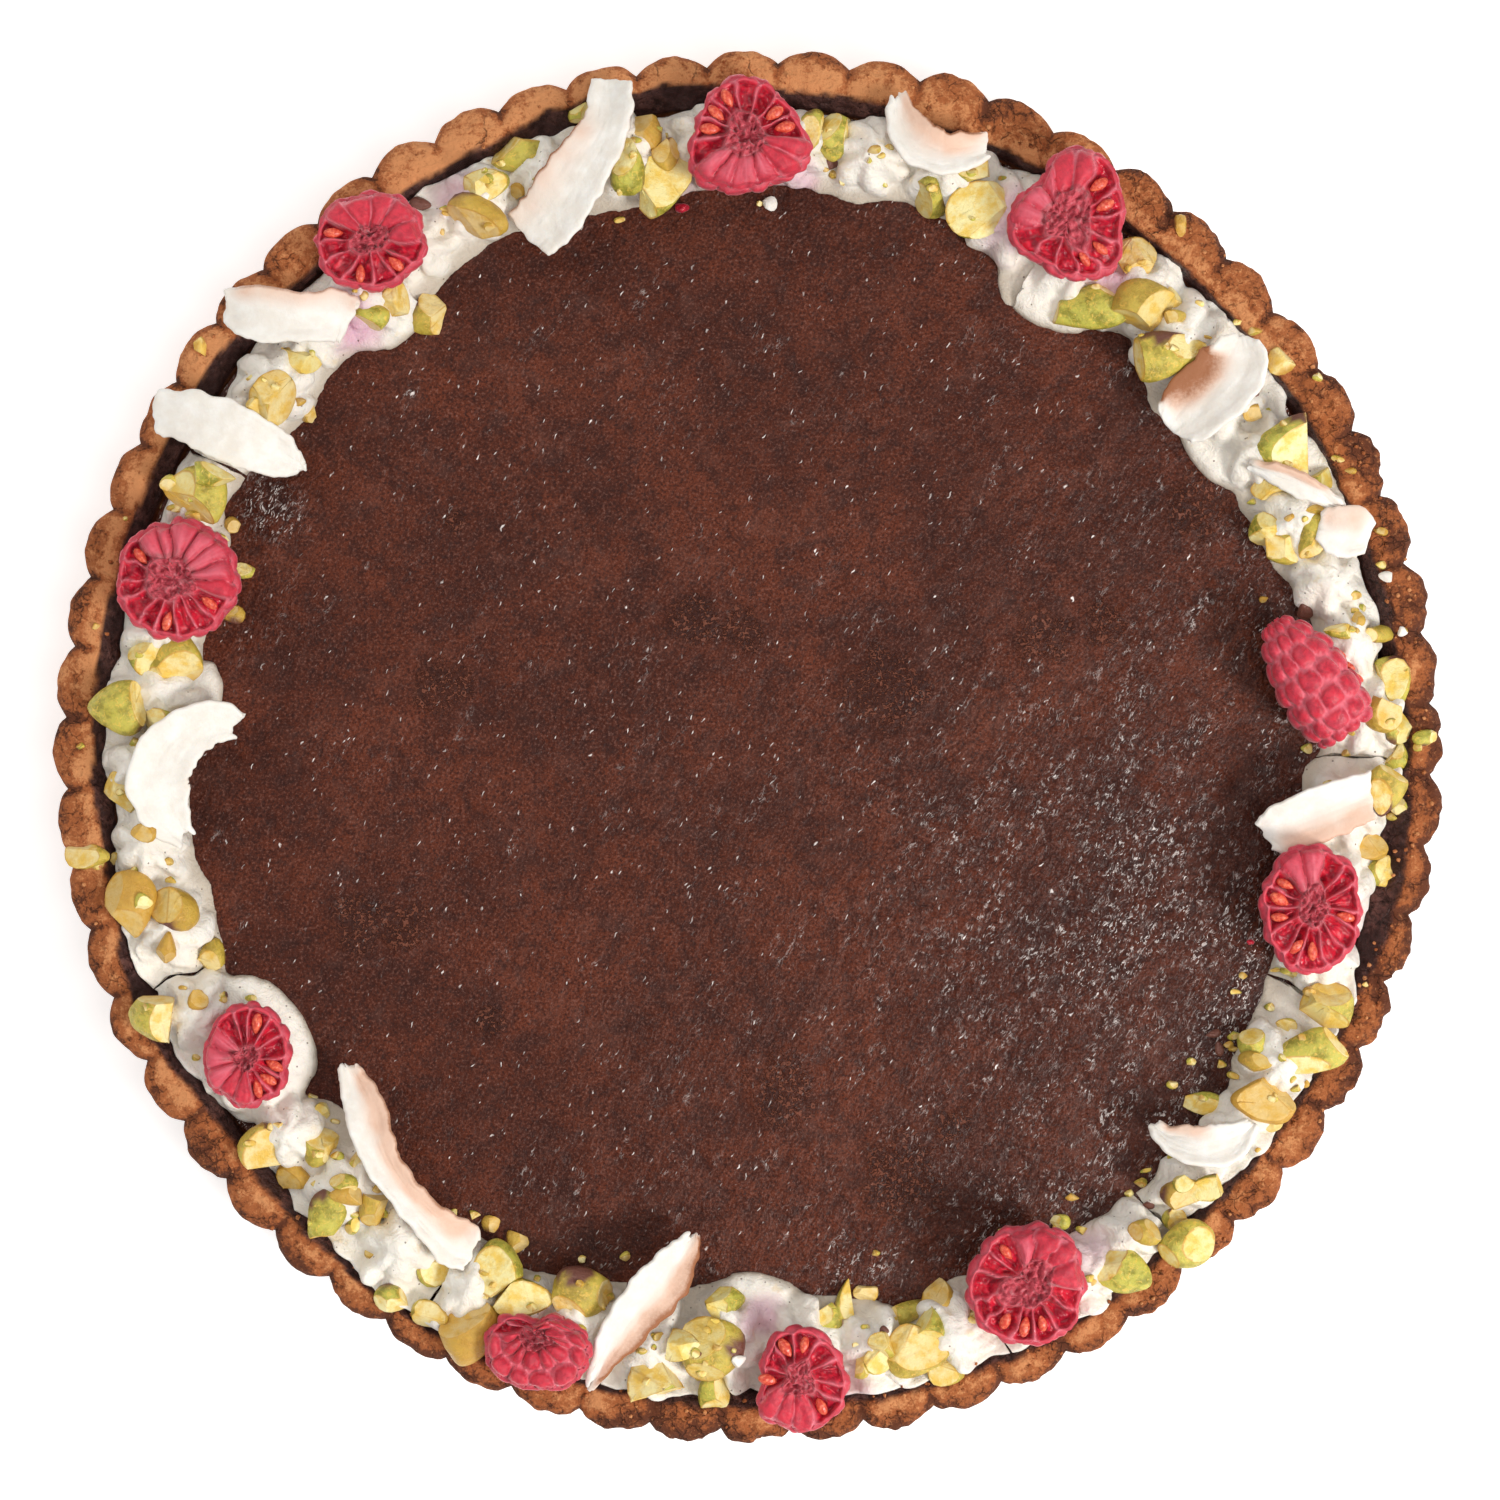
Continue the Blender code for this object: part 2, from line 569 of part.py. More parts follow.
def whole_berry_seat():
    """A plain spindle that holds the whole raspberry with clearance."""
    profile = ((-0.03, 0.8), (0.26, 1.0), (0.5, 1.0), (0.78, 0.74), (1.04, 0.2))
    rings = [ring(SEAT_SIDES, lambda angle, wide=wide: wide, share) for share, wide in profile]
    return laid_on_side(lofted(rings), SEAT_SPREAD)


def smooth_stations(stations, steps):
    """More stations between the given ones, on a smooth curve through them."""
    points = [Vector(station) for station in stations]
    padded = [points[0] * 2 - points[1], *points, points[-1] * 2 - points[-2]]
    smooth = []
    for a, b, c, d in zip(padded, padded[1:], padded[2:], padded[3:]):
        for step in range(steps):
            t = step / steps
            smooth.append(0.5 * (2 * b + (c - a) * t + (2 * a - 5 * b + 4 * c - d) * t * t
                                 + (3 * b - a - 3 * c + d) * t ** 3))
    return smooth + [points[-1]]


def chip(roll, sag, stations):
    """A bent coconut chip: a thin strip that follows its stations and is cupped across."""
    along = smooth_stations(stations, CHIP_STEPS)
    sections = []
    for index, station in enumerate(along):
        before = along[max(0, index - 1)]
        after = along[min(len(along) - 1, index + 1)]
        heading = Vector((after[0] - before[0], after[1] - before[1], after[2] - before[2])).normalized()
        across = Vector((0, 0, 1)).cross(heading).normalized()
        across = Matrix.Rotation(math.radians(roll), 3, heading) @ across
        upward = heading.cross(across).normalized()
        middle = Vector(station[:3])
        half = station[3] / 2
        lift = upward * CHIP_THICKNESS / 2
        dip = upward * sag
        sections.append((middle + across * half + lift, middle - dip + lift, middle - across * half + lift,
                         middle - across * half - lift, middle - dip - lift, middle + across * half - lift))
    return lofted(sections)


def run_of(bearing):
    """The run of cream that a bearing falls in."""
    turned = (bearing - RUN_ENDS[0]) % 360 + RUN_ENDS[0]
    for index, (first, last) in enumerate(zip(RUN_ENDS, RUN_ENDS[1:])):
        if first <= turned < last:
            return index
    return len(RUN_ENDS) - 2


def trimmed_at(bm, bearing, side):
    """The bmesh cut off at a bearing, with what lies on the given side of it dropped."""
    normal = polar(bearing + 90, 1.0) * side
    cut = bmesh.ops.bisect_plane(bm, geom=bm.verts[:] + bm.edges[:] + bm.faces[:], dist=0.0001,
                                 plane_co=-normal * RUN_END_GAP, plane_no=normal, clear_outer=True)
    edges = [item for item in cut["geom_cut"] if isinstance(item, bmesh.types.BMEdge)]
    if edges:
        bmesh.ops.holes_fill(bm, edges=edges, sides=0)
    return bm


def cream_run(index, seats):
    """One run of piped cream with its small nuts, and a seat cut round each topping that sits in it."""
    first, last = RUN_ENDS[index], RUN_ENDS[index + 1]
    pieces = [dollop(*entry) for entry in DOLLOPS if run_of(entry[0]) == index]
    pieces += [pool(*entry) for entry in POOLS if run_of(entry[0]) == index]
    for number, (bearing, distance, size_x, size_y) in enumerate(SMALL_NUTS):
        if run_of(bearing) == index:
            distance = min(distance, CREAM_OUTER_RADIUS - max(size_x, size_y) / 2 - 0.4)
            centre = nut_centre(bearing, distance, size_x, size_y)
            pieces.append(nut_wedge(f"small nut {number}", size_x, size_y, centre))
    bm = combined(pieces[0], pieces[1:], "UNION")
    trimmed_at(bm, first, -1)
    trimmed_at(bm, last, 1)
    near = [seat for seat in seats if boxes_meet(bm, seat, 0.0)]
    return combined(bm, [seat.copy() for seat in near], "DIFFERENCE")


def berry_seat(bearing, distance, size_x, size_y, height):
    """A plain bowl that holds a half berry with clearance."""
    profile = ((-0.04, 0.52), (0.2, 0.94), (0.6, 1.02), (1.1, 1.02))
    rings = [ring(SEAT_SIDES, lambda angle, wide=wide: wide * SEAT_SPREAD, share) for share, wide in profile]
    bm = lofted(rings)
    place = (Matrix.Translation(polar(bearing, distance, BERRY_SEAT))
             @ Matrix.Diagonal((size_x / 2, size_y / 2, height, 1)))
    bmesh.ops.transform(bm, matrix=place, verts=bm.verts)
    return bm


def toppings():
    """Every berry, chip and large nut in millimetres by name, each cut clear of those laid before it, and
    beside it the plain shape that cuts its seat."""
    laid = {}
    seats = {}
    for name, entry in HALF_BERRIES.items():
        laid[name] = half_berry(*entry)
        seats[name] = berry_seat(*entry[:5])
    laid["raspberry_10"] = whole_berry()
    seats["raspberry_10"] = whole_berry_seat()
    for name, (roll, sag, stations) in CHIPS.items():
        bm = chip(roll, sag, stations)
        near = [seat.copy() for seat in seats.values() if boxes_meet(bm, seat, 0.0)]
        laid[name] = combined(bm, near, "DIFFERENCE")
        seats[name] = grown(laid[name], GAP)
    for name, (bearing, distance, length, width, turn) in PISTACHIOS.items():
        centre = nut_centre(bearing, distance, length, width)
        bm = chopped(kernel(length, width, turn, centre, 4), name)
        near = [seat.copy() for seat in seats.values() if boxes_meet(bm, seat, 0.0)]
        laid[name] = combined(bm, near, "DIFFERENCE")
        spread = (length * NUT_SEAT_SPREAD, width * NUT_SEAT_SPREAD)
        seats[name] = grown(kernel(*spread, turn, centre, 3), GAP)
    return laid, seats


def main():
    for old in list(bpy.data.objects):
        bpy.data.objects.remove(old)
    finish("crust", crust(), "crust")
    finish("ganache", ganache(), "ganache")
    laid, seats = toppings()
    for index in range(len(RUN_ENDS) - 1):
        finish(f"cream_{index + 1}", cream_run(index, seats.values()), "cream")
    for name, bm in laid.items():
        finish(name, bm, name.split("_")[0])


main()
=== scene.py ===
"""Chocolate raspberry tart: the dressed model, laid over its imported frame.

The file is laid out as an add-on: each piece has an operator, and the sizes and colours that a user would
change are properties. Tables are in millimetres and degrees. Bearings run counter-clockwise from +X as seen
from above, and a piece is scaled to metres when it is finished.
"""

import math
import random
import zlib

import bmesh
import bpy
from bpy.props import FloatProperty, FloatVectorProperty, IntProperty, PointerProperty
from mathutils import Matrix, Vector, noise
from mathutils.bvhtree import BVHTree


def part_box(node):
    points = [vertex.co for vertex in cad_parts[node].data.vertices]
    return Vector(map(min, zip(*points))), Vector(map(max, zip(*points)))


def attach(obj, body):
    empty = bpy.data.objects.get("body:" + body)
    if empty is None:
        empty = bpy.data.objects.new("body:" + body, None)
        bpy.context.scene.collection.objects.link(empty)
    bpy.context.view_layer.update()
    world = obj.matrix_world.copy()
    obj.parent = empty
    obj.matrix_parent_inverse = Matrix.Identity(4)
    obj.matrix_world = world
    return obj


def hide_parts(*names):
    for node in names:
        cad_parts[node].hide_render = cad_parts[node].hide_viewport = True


bl_info = {
    "name": "Chocolate raspberry tart",
    "version": (1, 0, 0),
    "blender": (4, 5, 0),
    "location": "View3D > Sidebar > Tart",
    "description": "Builds a chocolate tart with raspberries, coconut and pistachios over its frame",
    "category": "Object",
}

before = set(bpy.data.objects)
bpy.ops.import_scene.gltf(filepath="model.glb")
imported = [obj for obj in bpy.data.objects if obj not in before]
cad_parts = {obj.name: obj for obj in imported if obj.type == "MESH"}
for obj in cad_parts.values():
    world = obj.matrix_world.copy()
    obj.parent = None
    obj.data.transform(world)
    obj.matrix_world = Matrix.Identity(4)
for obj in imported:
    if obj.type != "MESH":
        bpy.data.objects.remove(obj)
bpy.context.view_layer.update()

MM = 0.001
UP = Vector((0, 0, 1))

# Crust
FLUTES = 60
FLUTE_BEARING = 0.6
FLUTE_DEPTH = 2.3
FLUTE_ROUNDNESS = 2.2
FLUTE_UNEVENNESS = 0.35
CRUST_STEPS = 1200

# Each point of the crust's section: radius, height, and how far the fluting reaches it
CRUST_SECTION = (
    (0, 0, 0), (60, 0, 0), (110, 0, 0.3), (114.3, 0.1, 0.9), (115.1, 0.7, 1),
    *((115.35 + 0.25 * step, 1.8 + 1.2 * step, 1) for step in range(16)), (119.35, 20.8, 1), (119.6, 21.7, 1),
    (119.75, 22.4, 1), (119.75, 23, 1), (119.55, 23.5, 1), (119.15, 23.95, 0.98), (118.6, 24.3, 0.93),
    (118, 24.55, 0.84), (117.4, 24.72, 0.73), (116.8, 24.85, 0.61), (116.2, 24.95, 0.49), (115.6, 25, 0.38),
    (115, 25.02, 0.28), (114.4, 25.02, 0.2), (113.8, 24.98, 0.13), (113.2, 24.9, 0.08), (112.6, 24.76, 0.04),
    (112.1, 24.54, 0.02), (111.7, 24.2, 0), (111.45, 23.7, 0), (111.3, 23.1, 0), (111.15, 22.4, 0),
    (111, 21.6, 0), (110.85, 20.8, 0), (110.6, 19.4, 0), (108, 5, 0), (60, 5, 0), (0, 5, 0),
)

# Where the baked top ends inward, how far the flutes reach past their radius, and how dark the bake is, each
# by bearing
TOP_EDGE = (
    (0, 114.2), (12, 113), (24, 112), (48, 111.8), (70, 112.2), (84, 113.6), (96, 115), (105, 115.4),
    (114, 113.4), (120, 112.8), (132, 112), (140, 113.4), (144, 114.4), (156, 113.4), (180, 113.6),
    (192, 113.2), (204, 115.6), (216, 112.4), (228, 114), (240, 115.4), (264, 114.2), (288, 115), (300, 115),
    (312, 113.2), (336, 113.8), (348, 115.4), (360, 114.2),
)
REACH = (
    (0, 0.3), (30, 0.3), (48, 0.2), (60, 0.9), (72, 1.5), (84, 0.9), (96, 0.3), (120, 0.6), (132, 0.2),
    (156, 0), (180, 0.7), (204, 0.8), (216, 0), (240, 0.1), (252, 1.1), (270, 1.1), (288, 0.8), (300, 0.8),
    (312, 0), (324, 0.6), (360, 0.3),
)
BAKE = (
    (0, 1), (25, 0.66), (50, 0.46), (75, 0.26), (100, 0.1), (125, 0.28), (150, 0.3), (178, 0.25), (195, 0.55),
    (215, 0.62), (240, 0.8), (255, 0.62), (265, 0.76), (276, 0.66), (295, 0.66), (312, 0.5), (330, 0.86),
    (350, 1.08), (360, 1),
)
WALL_FOOT = (110.9, 21.2)
RIM_HEIGHT = 25.0
CRUST_FLOOR_RADIUS = 100.0

# Ganache
GANACHE_LEVEL = 20.5
GANACHE_UNDERSIDE = ((0.0, 5.2), (107.8, 5.3), (110.2, 17.5))
GANACHE_STEPS = 720

# Piped cream, as in the solids: the bearings between its runs, and those where a crack shows
RUN_ENDS = (-1.0, 26.0, 59.0, 90.0, 127.0, 152.0, 178.0, 202.0, 240.0, 257.0, 293.0, 311.0, 336.0, 359.0)
CRACKS = (-1.0, 152.0, 178.0, 202.0, 240.0, 257.0, 293.0, 311.0, 336.0, 359.0)
CREAM_OUTER_RADIUS = 110.2
CREAM_SEAT = 20.8
CREAM_FLOOR = 20.0
THIN_CREAM_RADIUS = 101.5
CRACK_HALF_WIDTH = 0.24
RUN_OVERLAP = 0.3
DOLLOP_HALF_SPAN = 8.6
DOLLOP_STEPS = 84
DOLLOP_HEIGHTS = (8.0, 10.0)
DOLLOPS = (
    (3, 98.5), (9.5, 99.5), (16, 97), (22.5, 95), (29.5, 94.5), (36.5, 92), (43.5, 93), (50, 94), (56, 91),
    (63.5, 93), (71, 98), (78.5, 97), (86, 96.5), (94, 96.5), (101.5, 96), (109, 96.5), (116.5, 98),
    (123.5, 97), (130, 94), (136.5, 97), (143, 95.5), (149, 98), (155.5, 100), (162.5, 96), (169, 96),
    (175, 93), (182, 97), (189.5, 98), (197.5, 97), (206, 96.5), (213, 94), (220, 97), (227.5, 95.5),
    (235, 96.5), (243, 97), (248.5, 98.5), (254, 96), (261, 95), (268, 94), (275, 95), (282, 99), (289, 99.5),
    (296, 99.5), (302, 100.5), (308, 101), (315, 101), (322, 101), (329.5, 99), (339.5, 98), (346.5, 97),
    (354, 96),
)
POOLS = (
    (33, 97, 5.5, 9, 3), (57, 95, 6.5, 10, 3.2), (130, 98, 5.5, 8, 2.8), (174.5, 97, 5, 6, 2.6),
    (211, 100, 9, 12, 4.2), (270, 97, 5.5, 8, 3),
)

# Where the cream's thin inner edge ends on the ganache: bearing and radius
CREAM_EDGE = (
    (0, 99), (14, 100), (16, 98), (19, 96), (26, 94.5), (31, 95), (34, 93), (40, 91), (43, 93), (47, 96.5),
    (51, 94), (55, 89.8), (60, 88.8), (64, 94.5), (66, 97), (75, 98), (79, 96), (86, 97.5), (95, 96.5),
    (104, 95.5), (110, 97), (116, 98), (121, 97), (126, 95), (130, 94), (134, 96.5), (138, 97), (143, 95.5),
    (147, 96.5), (152, 99), (156, 100), (159, 96.5), (165, 96), (171, 96), (174.6, 92.4), (178, 95),
    (184, 97.5), (191, 98), (195.5, 96.5), (200, 97.5), (203, 99), (206, 96.5), (209, 93), (212, 91.6),
    (215, 93.5), (218, 98), (222, 94.6), (228, 95.5), (235, 96), (241, 97), (246, 99), (251, 97.5),
    (256, 95.6), (262, 95), (269, 92), (273, 92.6), (277, 96), (282, 98), (286, 101.5), (290, 99), (297, 100),
    (303, 101), (310, 102.5), (317, 103), (322, 103.6), (328, 99.6), (333, 99), (336, 98), (342, 98),
    (350, 97), (357, 96), (360, 99),
)

# Where berry juice has stained the cream lilac: bearing, distance, reach and strength
STAINS = (
    (133, 100, 6.5, 1), (271, 98.5, 5, 0.7), (64, 100.5, 7.5, 0.75), (52.5, 101, 5, 0.8),
    (118, 108, 5.5, 0.6), (85, 98.5, 4, 0.7), (97, 98, 5, 0.35), (161, 110, 4.5, 0.5),
    (303.5, 104, 5.5, 0.55), (344, 109, 6, 0.25), (211.7, 107.5, 4, 0.3), (279, 112, 5, 0.4),
)


def seeded(name):
    """A random source that depends on the name alone."""
    return random.Random(zlib.crc32(name.encode()))


def polar(bearing, distance, height=0.0):
    """The point at a bearing and a distance from the tart's axis."""
    angle = math.radians(bearing)
    return Vector((distance * math.cos(angle), distance * math.sin(angle), height))


def shade(red, green, blue):
    """A colour as the eye names it, 0 to 255, turned into the light that it reflects."""
    parts = [part / 255 for part in (red, green, blue)]
    return tuple(part / 12.92 if part <= 0.04045 else ((part + 0.055) / 1.055) ** 2.4 for part in parts)


def ease(low, high, value):
    """0 below low, 1 above high, and a smooth rise between; low may lie above high."""
    share = min(1.0, max(0.0, (value - low) / (high - low)))
    return share * share * (3 - 2 * share)


def rough(point, size, seed=0.0):
    """Smooth noise from -1 to 1 whose lumps are about the given size."""
    return noise.noise(point / size + Vector((seed, seed * 0.7, -seed)))


def rippled(x, y, z):
    """Smooth noise from -1 to 1 at a place."""
    return noise.noise(Vector((x, y, z)))


def between(table, bearing):
    """The value at a bearing, on a smooth curve through a table of (bearing, value)."""
    turned = bearing % 360
    for (start, a), (end, b) in zip(table, table[1:]):
        if start <= turned <= end:
            return a + (b - a) * ease(start, end, turned)
    return table[-1][1]


def flat(point):
    """The point's place on the ground."""
    return Vector((point.x, point.y, 0))


def turned(degrees):
    """A turn about the vertical."""
    return Matrix.Rotation(math.radians(degrees), 4, "Z")


def moved(bm, matrix):
    """Moves every point of a bmesh."""
    bmesh.ops.transform(bm, matrix=matrix, verts=bm.verts)
    return bm


def numbers_on(bm, *names):
    """Layers of numbers on the bmesh's points, which the finishes read by name."""
    return [bm.verts.layers.float.new(name) for name in names]


def spun(profile, steps, weld=0.0004, marked=False):
    """A bmesh made by spinning a profile of (radius, height) round the vertical axis. If it is marked, its
    layer along holds each point's share of the way along the profile."""
    bm = bmesh.new()
    marks = numbers_on(bm, "along") if marked else []
    verts = [bm.verts.new((max(radius, 0.0), 0, height)) for radius, height in profile]
    for along in marks:
        for index, vert in enumerate(verts):
            vert[along] = index / (len(profile) - 1)
    edges = [bm.edges.new(pair) for pair in zip(verts, verts[1:])]
    bmesh.ops.spin(bm, geom=verts + edges, cent=(0, 0, 0), axis=(0, 0, 1), angle=math.tau, steps=steps,
                   use_merge=True)
    bmesh.ops.remove_doubles(bm, verts=bm.verts, dist=weld)
    bmesh.ops.recalc_face_normals(bm, faces=bm.faces)
    return bm


def ellipsoid(segments, rings):
    """A unit ball to be scaled and shaped."""
    bm = bmesh.new()
    bmesh.ops.create_uvsphere(bm, u_segments=segments, v_segments=rings, radius=1.0)
    return bm


def poured_into(target, bm):
    """Adds a bmesh to another and frees it."""
    mesh = bpy.data.meshes.new("scratch")
    bm.to_mesh(mesh)
    bm.free()
    target.from_mesh(mesh)
    bpy.data.meshes.remove(mesh)
    return target


def voxelled(bm, voxel):
    """The union of every body in the bmesh, rebuilt with an even grain."""
    mesh = bpy.data.meshes.new("scratch")
    bm.to_mesh(mesh)
    bm.free()
    made = bpy.data.objects.new("scratch", mesh)
    bpy.context.scene.collection.objects.link(made)
    remesh = made.modifiers.new("grain", "REMESH")
    remesh.mode = "VOXEL"
    remesh.voxel_size = voxel
    bpy.context.view_layer.update()
    evaluated = made.evaluated_get(bpy.context.evaluated_depsgraph_get())
    result = bmesh.new()
    result.from_mesh(evaluated.to_mesh())
    evaluated.to_mesh_clear()
    bpy.data.objects.remove(made)
    bpy.data.meshes.remove(mesh)
    return result


def finished(name, bm, finishes, nodes=(), smooth_angle=None):
    """Turns a bmesh in millimetres into a piece in metres that rides on the tart and stands for its nodes."""
    bmesh.ops.scale(bm, vec=(MM, MM, MM), verts=bm.verts)
    mesh = bpy.data.meshes.new(name)
    bm.to_mesh(mesh)
    bm.free()
    for made in finishes:
        mesh.materials.append(made)
    mesh.shade_smooth()
    if smooth_angle is not None:
        mesh.set_sharp_from_angle(angle=math.radians(smooth_angle))
    piece = bpy.data.objects.new(name, mesh)
    bpy.context.scene.collection.objects.link(piece)
    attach(piece, "root")
    if nodes:
        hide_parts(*nodes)
    return piece


grounds = []


def remember_ground(bm):
    """Keeps a surface in millimetres, so that small pieces can be set down on it."""
    grounds.append(BVHTree.FromBMesh(bm))


def ground_at(x, y):
    """The height and the slope of what lies uppermost at a place, or None beside the tart."""
    best = None
    for tree in grounds:
        place, normal, _, _ = tree.ray_cast(Vector((x, y, 80.0)), -UP)
        if place is not None and (best is None or place.z > best[0]):
            best = (place.z, normal)
    return best


class Finish:
    """A Principled material, and short ways to add the nodes that feed it."""

    def __init__(self, name, **constants):
        self.material = bpy.data.materials.new(name)
        self.material.use_nodes = True
        self.tree = self.material.node_tree
        self.shader = self.tree.nodes["Principled BSDF"]
        for socket, value in constants.items():
            self.shader.inputs[socket.replace("_", " ")].default_value = value
        self.place = self.node("TexCoord", "Object", {})

    def feed(self, socket, value):
        """Links another node's output to a socket, or sets the socket to a number, a vector or a colour."""
        if isinstance(value, bpy.types.NodeSocket):
            self.tree.links.new(value, socket)
        elif socket.type == "RGBA":
            socket.default_value = (*value, 1.0)
        else:
            socket.default_value = value

    def node(self, kind, output, inputs, **settings):
        """Adds a node, sets it up, feeds its inputs and gives one of its outputs."""
        added = self.tree.nodes.new("ShaderNode" + kind)
        for key, value in settings.items():
            setattr(added, key, value)
        for key, value in inputs.items():
            self.feed(added.inputs[key], value)
        return added.outputs[output]

    def mapped(self, stretch, turn, place):
        """A place, turned about the vertical and stretched."""
        turned = self.node("Mapping", "Vector", {"Vector": place, "Rotation": (0, 0, math.radians(turn))})
        return self.node("Mapping", "Vector", {"Vector": turned, "Scale": stretch})

    def grain(self, size, detail=3.0, roughness=0.55, distortion=0.0, place=None):
        """Noise whose lumps measure about the size in millimetres."""
        return self.node("TexNoise", "Fac", {
            "Vector": place or self.place, "Scale": 1 / (size * MM), "Detail": detail, "Roughness": roughness,
            "Distortion": distortion,
        })

    def wandering(self, size, reach):
        """Object coordinates pushed about by noise of a size, as far as reach, both in millimetres."""
        push = self.node("TexNoise", "Color", {"Vector": self.place, "Scale": 1 / (size * MM), "Detail": 2.0})
        return self.node("VectorMath", "Vector", {0: push, 1: (reach * MM,) * 3, 2: self.place},
                         operation="MULTIPLY_ADD")

    def cells(self, size, feature="F1", place=None):
        """Distance in a cell pattern whose cells measure about the size in millimetres."""
        return self.node("TexVoronoi", "Distance", {"Vector": place or self.place, "Scale": 1 / (size * MM)},
                         feature=feature)

    def attribute(self, name):
        """A number that the piece carries at each point."""
        return self.node("Attribute", "Fac", {}, attribute_name=name)

    def ramp(self, source, low, high):
        """0 where the source is at low, 1 at high, smooth between."""
        return self.node("MapRange", "Result", {"Value": source, "From Min": low, "From Max": high},
                         interpolation_type="SMOOTHSTEP")

    def span(self, source, low, high):
        """The source from 0 to 1, spread over low to high."""
        return self.node("MapRange", "Result", {"Value": source, "To Min": low, "To Max": high})

    def maths(self, operation, a, b):
        return self.node("Math", "Value", {0: a, 1: b}, operation=operation)

    def plus(self, a, b):
        return self.maths("ADD", a, b)

    def less(self, a, b):
        return self.maths("SUBTRACT", a, b)

    def times(self, a, b):
        return self.maths("MULTIPLY", a, b)

    def most(self, a, b):
        return self.maths("MAXIMUM", a, b)

    def mix(self, share, a, b):
        """Colour a where the share is 0 and colour b where it is 1."""
        return self.node("Mix", 2, {"Factor": share, 6: a, 7: b}, data_type="RGBA")

    def coated(self, tone, *coats):
        """The tone under coats, each a share and a colour."""
        for share, colour in coats:
            tone = self.mix(share, tone, colour)
        return tone

    def weighed(self, *parts):
        """The sum of sources, each times its weight."""
        total = self.times(*parts[0])
        for source, weight in parts[1:]:
            total = self.plus(total, self.times(source, weight))
        return total

    def bump(self, height, depth, strength=1.0):
        """Fine relief of the given depth in millimetres."""
        return self.node("Bump", "Normal", {"Height": height, "Distance": depth * MM, "Strength": strength})

    def done(self, colour, roughness=None, normal=None):
        """Feeds the shader and gives the material."""
        for socket, value in (("Base Color", colour), ("Roughness", roughness), ("Normal", normal)):
            if value is not None:
                self.feed(self.shader.inputs[socket], value)
        return self.material


def crust_finish(colours):
    """Baked shortcrust: tan with darker patches and a painted shade in the notches between the flutes, crumb,
    pits, fine cracks and a cocoa-stained inner wall with painted shade in its hollows.
    """
    made = Finish("baked shortcrust", Specular_IOR_Level=0.22)
    inner = made.attribute("inner")
    broad = made.grain(8.0, detail=6.0, roughness=0.66)
    crumb = made.grain(1.3, detail=5.0, roughness=0.7)
    grit = made.grain(0.42, roughness=0.65)
    fleck = made.ramp(made.grain(0.8, detail=2.0), 0.6, 0.74)
    patches = made.span(made.attribute("side"), 2.0, 1.0)
    # The depth reads the bake number, which carries the painted shade in the flute notches. It deepens where
    # the crumb and grit noise dip, and the same noise also gives the bump.
    depth = made.weighed((made.attribute("bake_and_notch_shade"), 1.0), (made.less(broad, 0.5), patches),
                         (made.less(0.5, crumb), 1.7), (made.less(0.5, grit), 0.9))
    crack = made.ramp(made.cells(9.0, "DISTANCE_TO_EDGE", made.wandering(2.4, 3.0)), 0.014, 0.003)
    crazed = made.ramp(made.cells(3.2, "DISTANCE_TO_EDGE", made.wandering(1.3, 2.0)), 0.05, 0.01)
    crazed = made.times(crazed, made.times(made.ramp(depth, 0.3, 0.9), made.ramp(broad, 0.4, 0.55)))
    crack = made.most(made.times(crack, made.ramp(broad, 0.5, 0.62)), made.times(crazed, 0.8))
    tone = made.coated(
        colours.crust_pale,
        (made.ramp(depth, 0.0, 0.5), colours.crust),
        (made.ramp(depth, 0.5, 1.05), colours.crust_dark),
        (made.times(fleck, 0.42), colours.crust_pale),
        (made.times(crack, 0.6), colours.crust_crack),
    )
    smear = made.mix(made.ramp(broad, 0.42, 0.66), colours.cocoa, colours.cocoa_pale)
    # Where the crumb noise dips, the inner wall takes the deep ganache colour, which is a painted shade in
    # its hollows.
    tone = made.mix(inner, tone, made.mix(made.ramp(crumb, 0.6, 0.35), smear, colours.ganache_deep_and_shade))
    pits = made.ramp(made.cells(2.1), 0.2, 0.5)
    relief = made.weighed((crumb, 0.7), (pits, 0.2), (grit, 0.3))
    relief = made.less(relief, made.times(crack, 0.5))
    return made.done(tone, made.span(inner, 0.85, 0.35), made.bump(relief, 0.95))


def crust_flute(angle, offsets):
    """How full the fluting is at an angle, from 0 in a notch to 1 on a tip, how near the notch is, and the
    flute's own offset."""
    turn = (angle - math.radians(FLUTE_BEARING)) / math.tau * FLUTES
    flute = math.floor(turn + 0.5)
    across = min(1.0, abs(turn - flute) * 2)
    return 1 - across ** FLUTE_ROUNDNESS, across, offsets[flute % FLUTES]


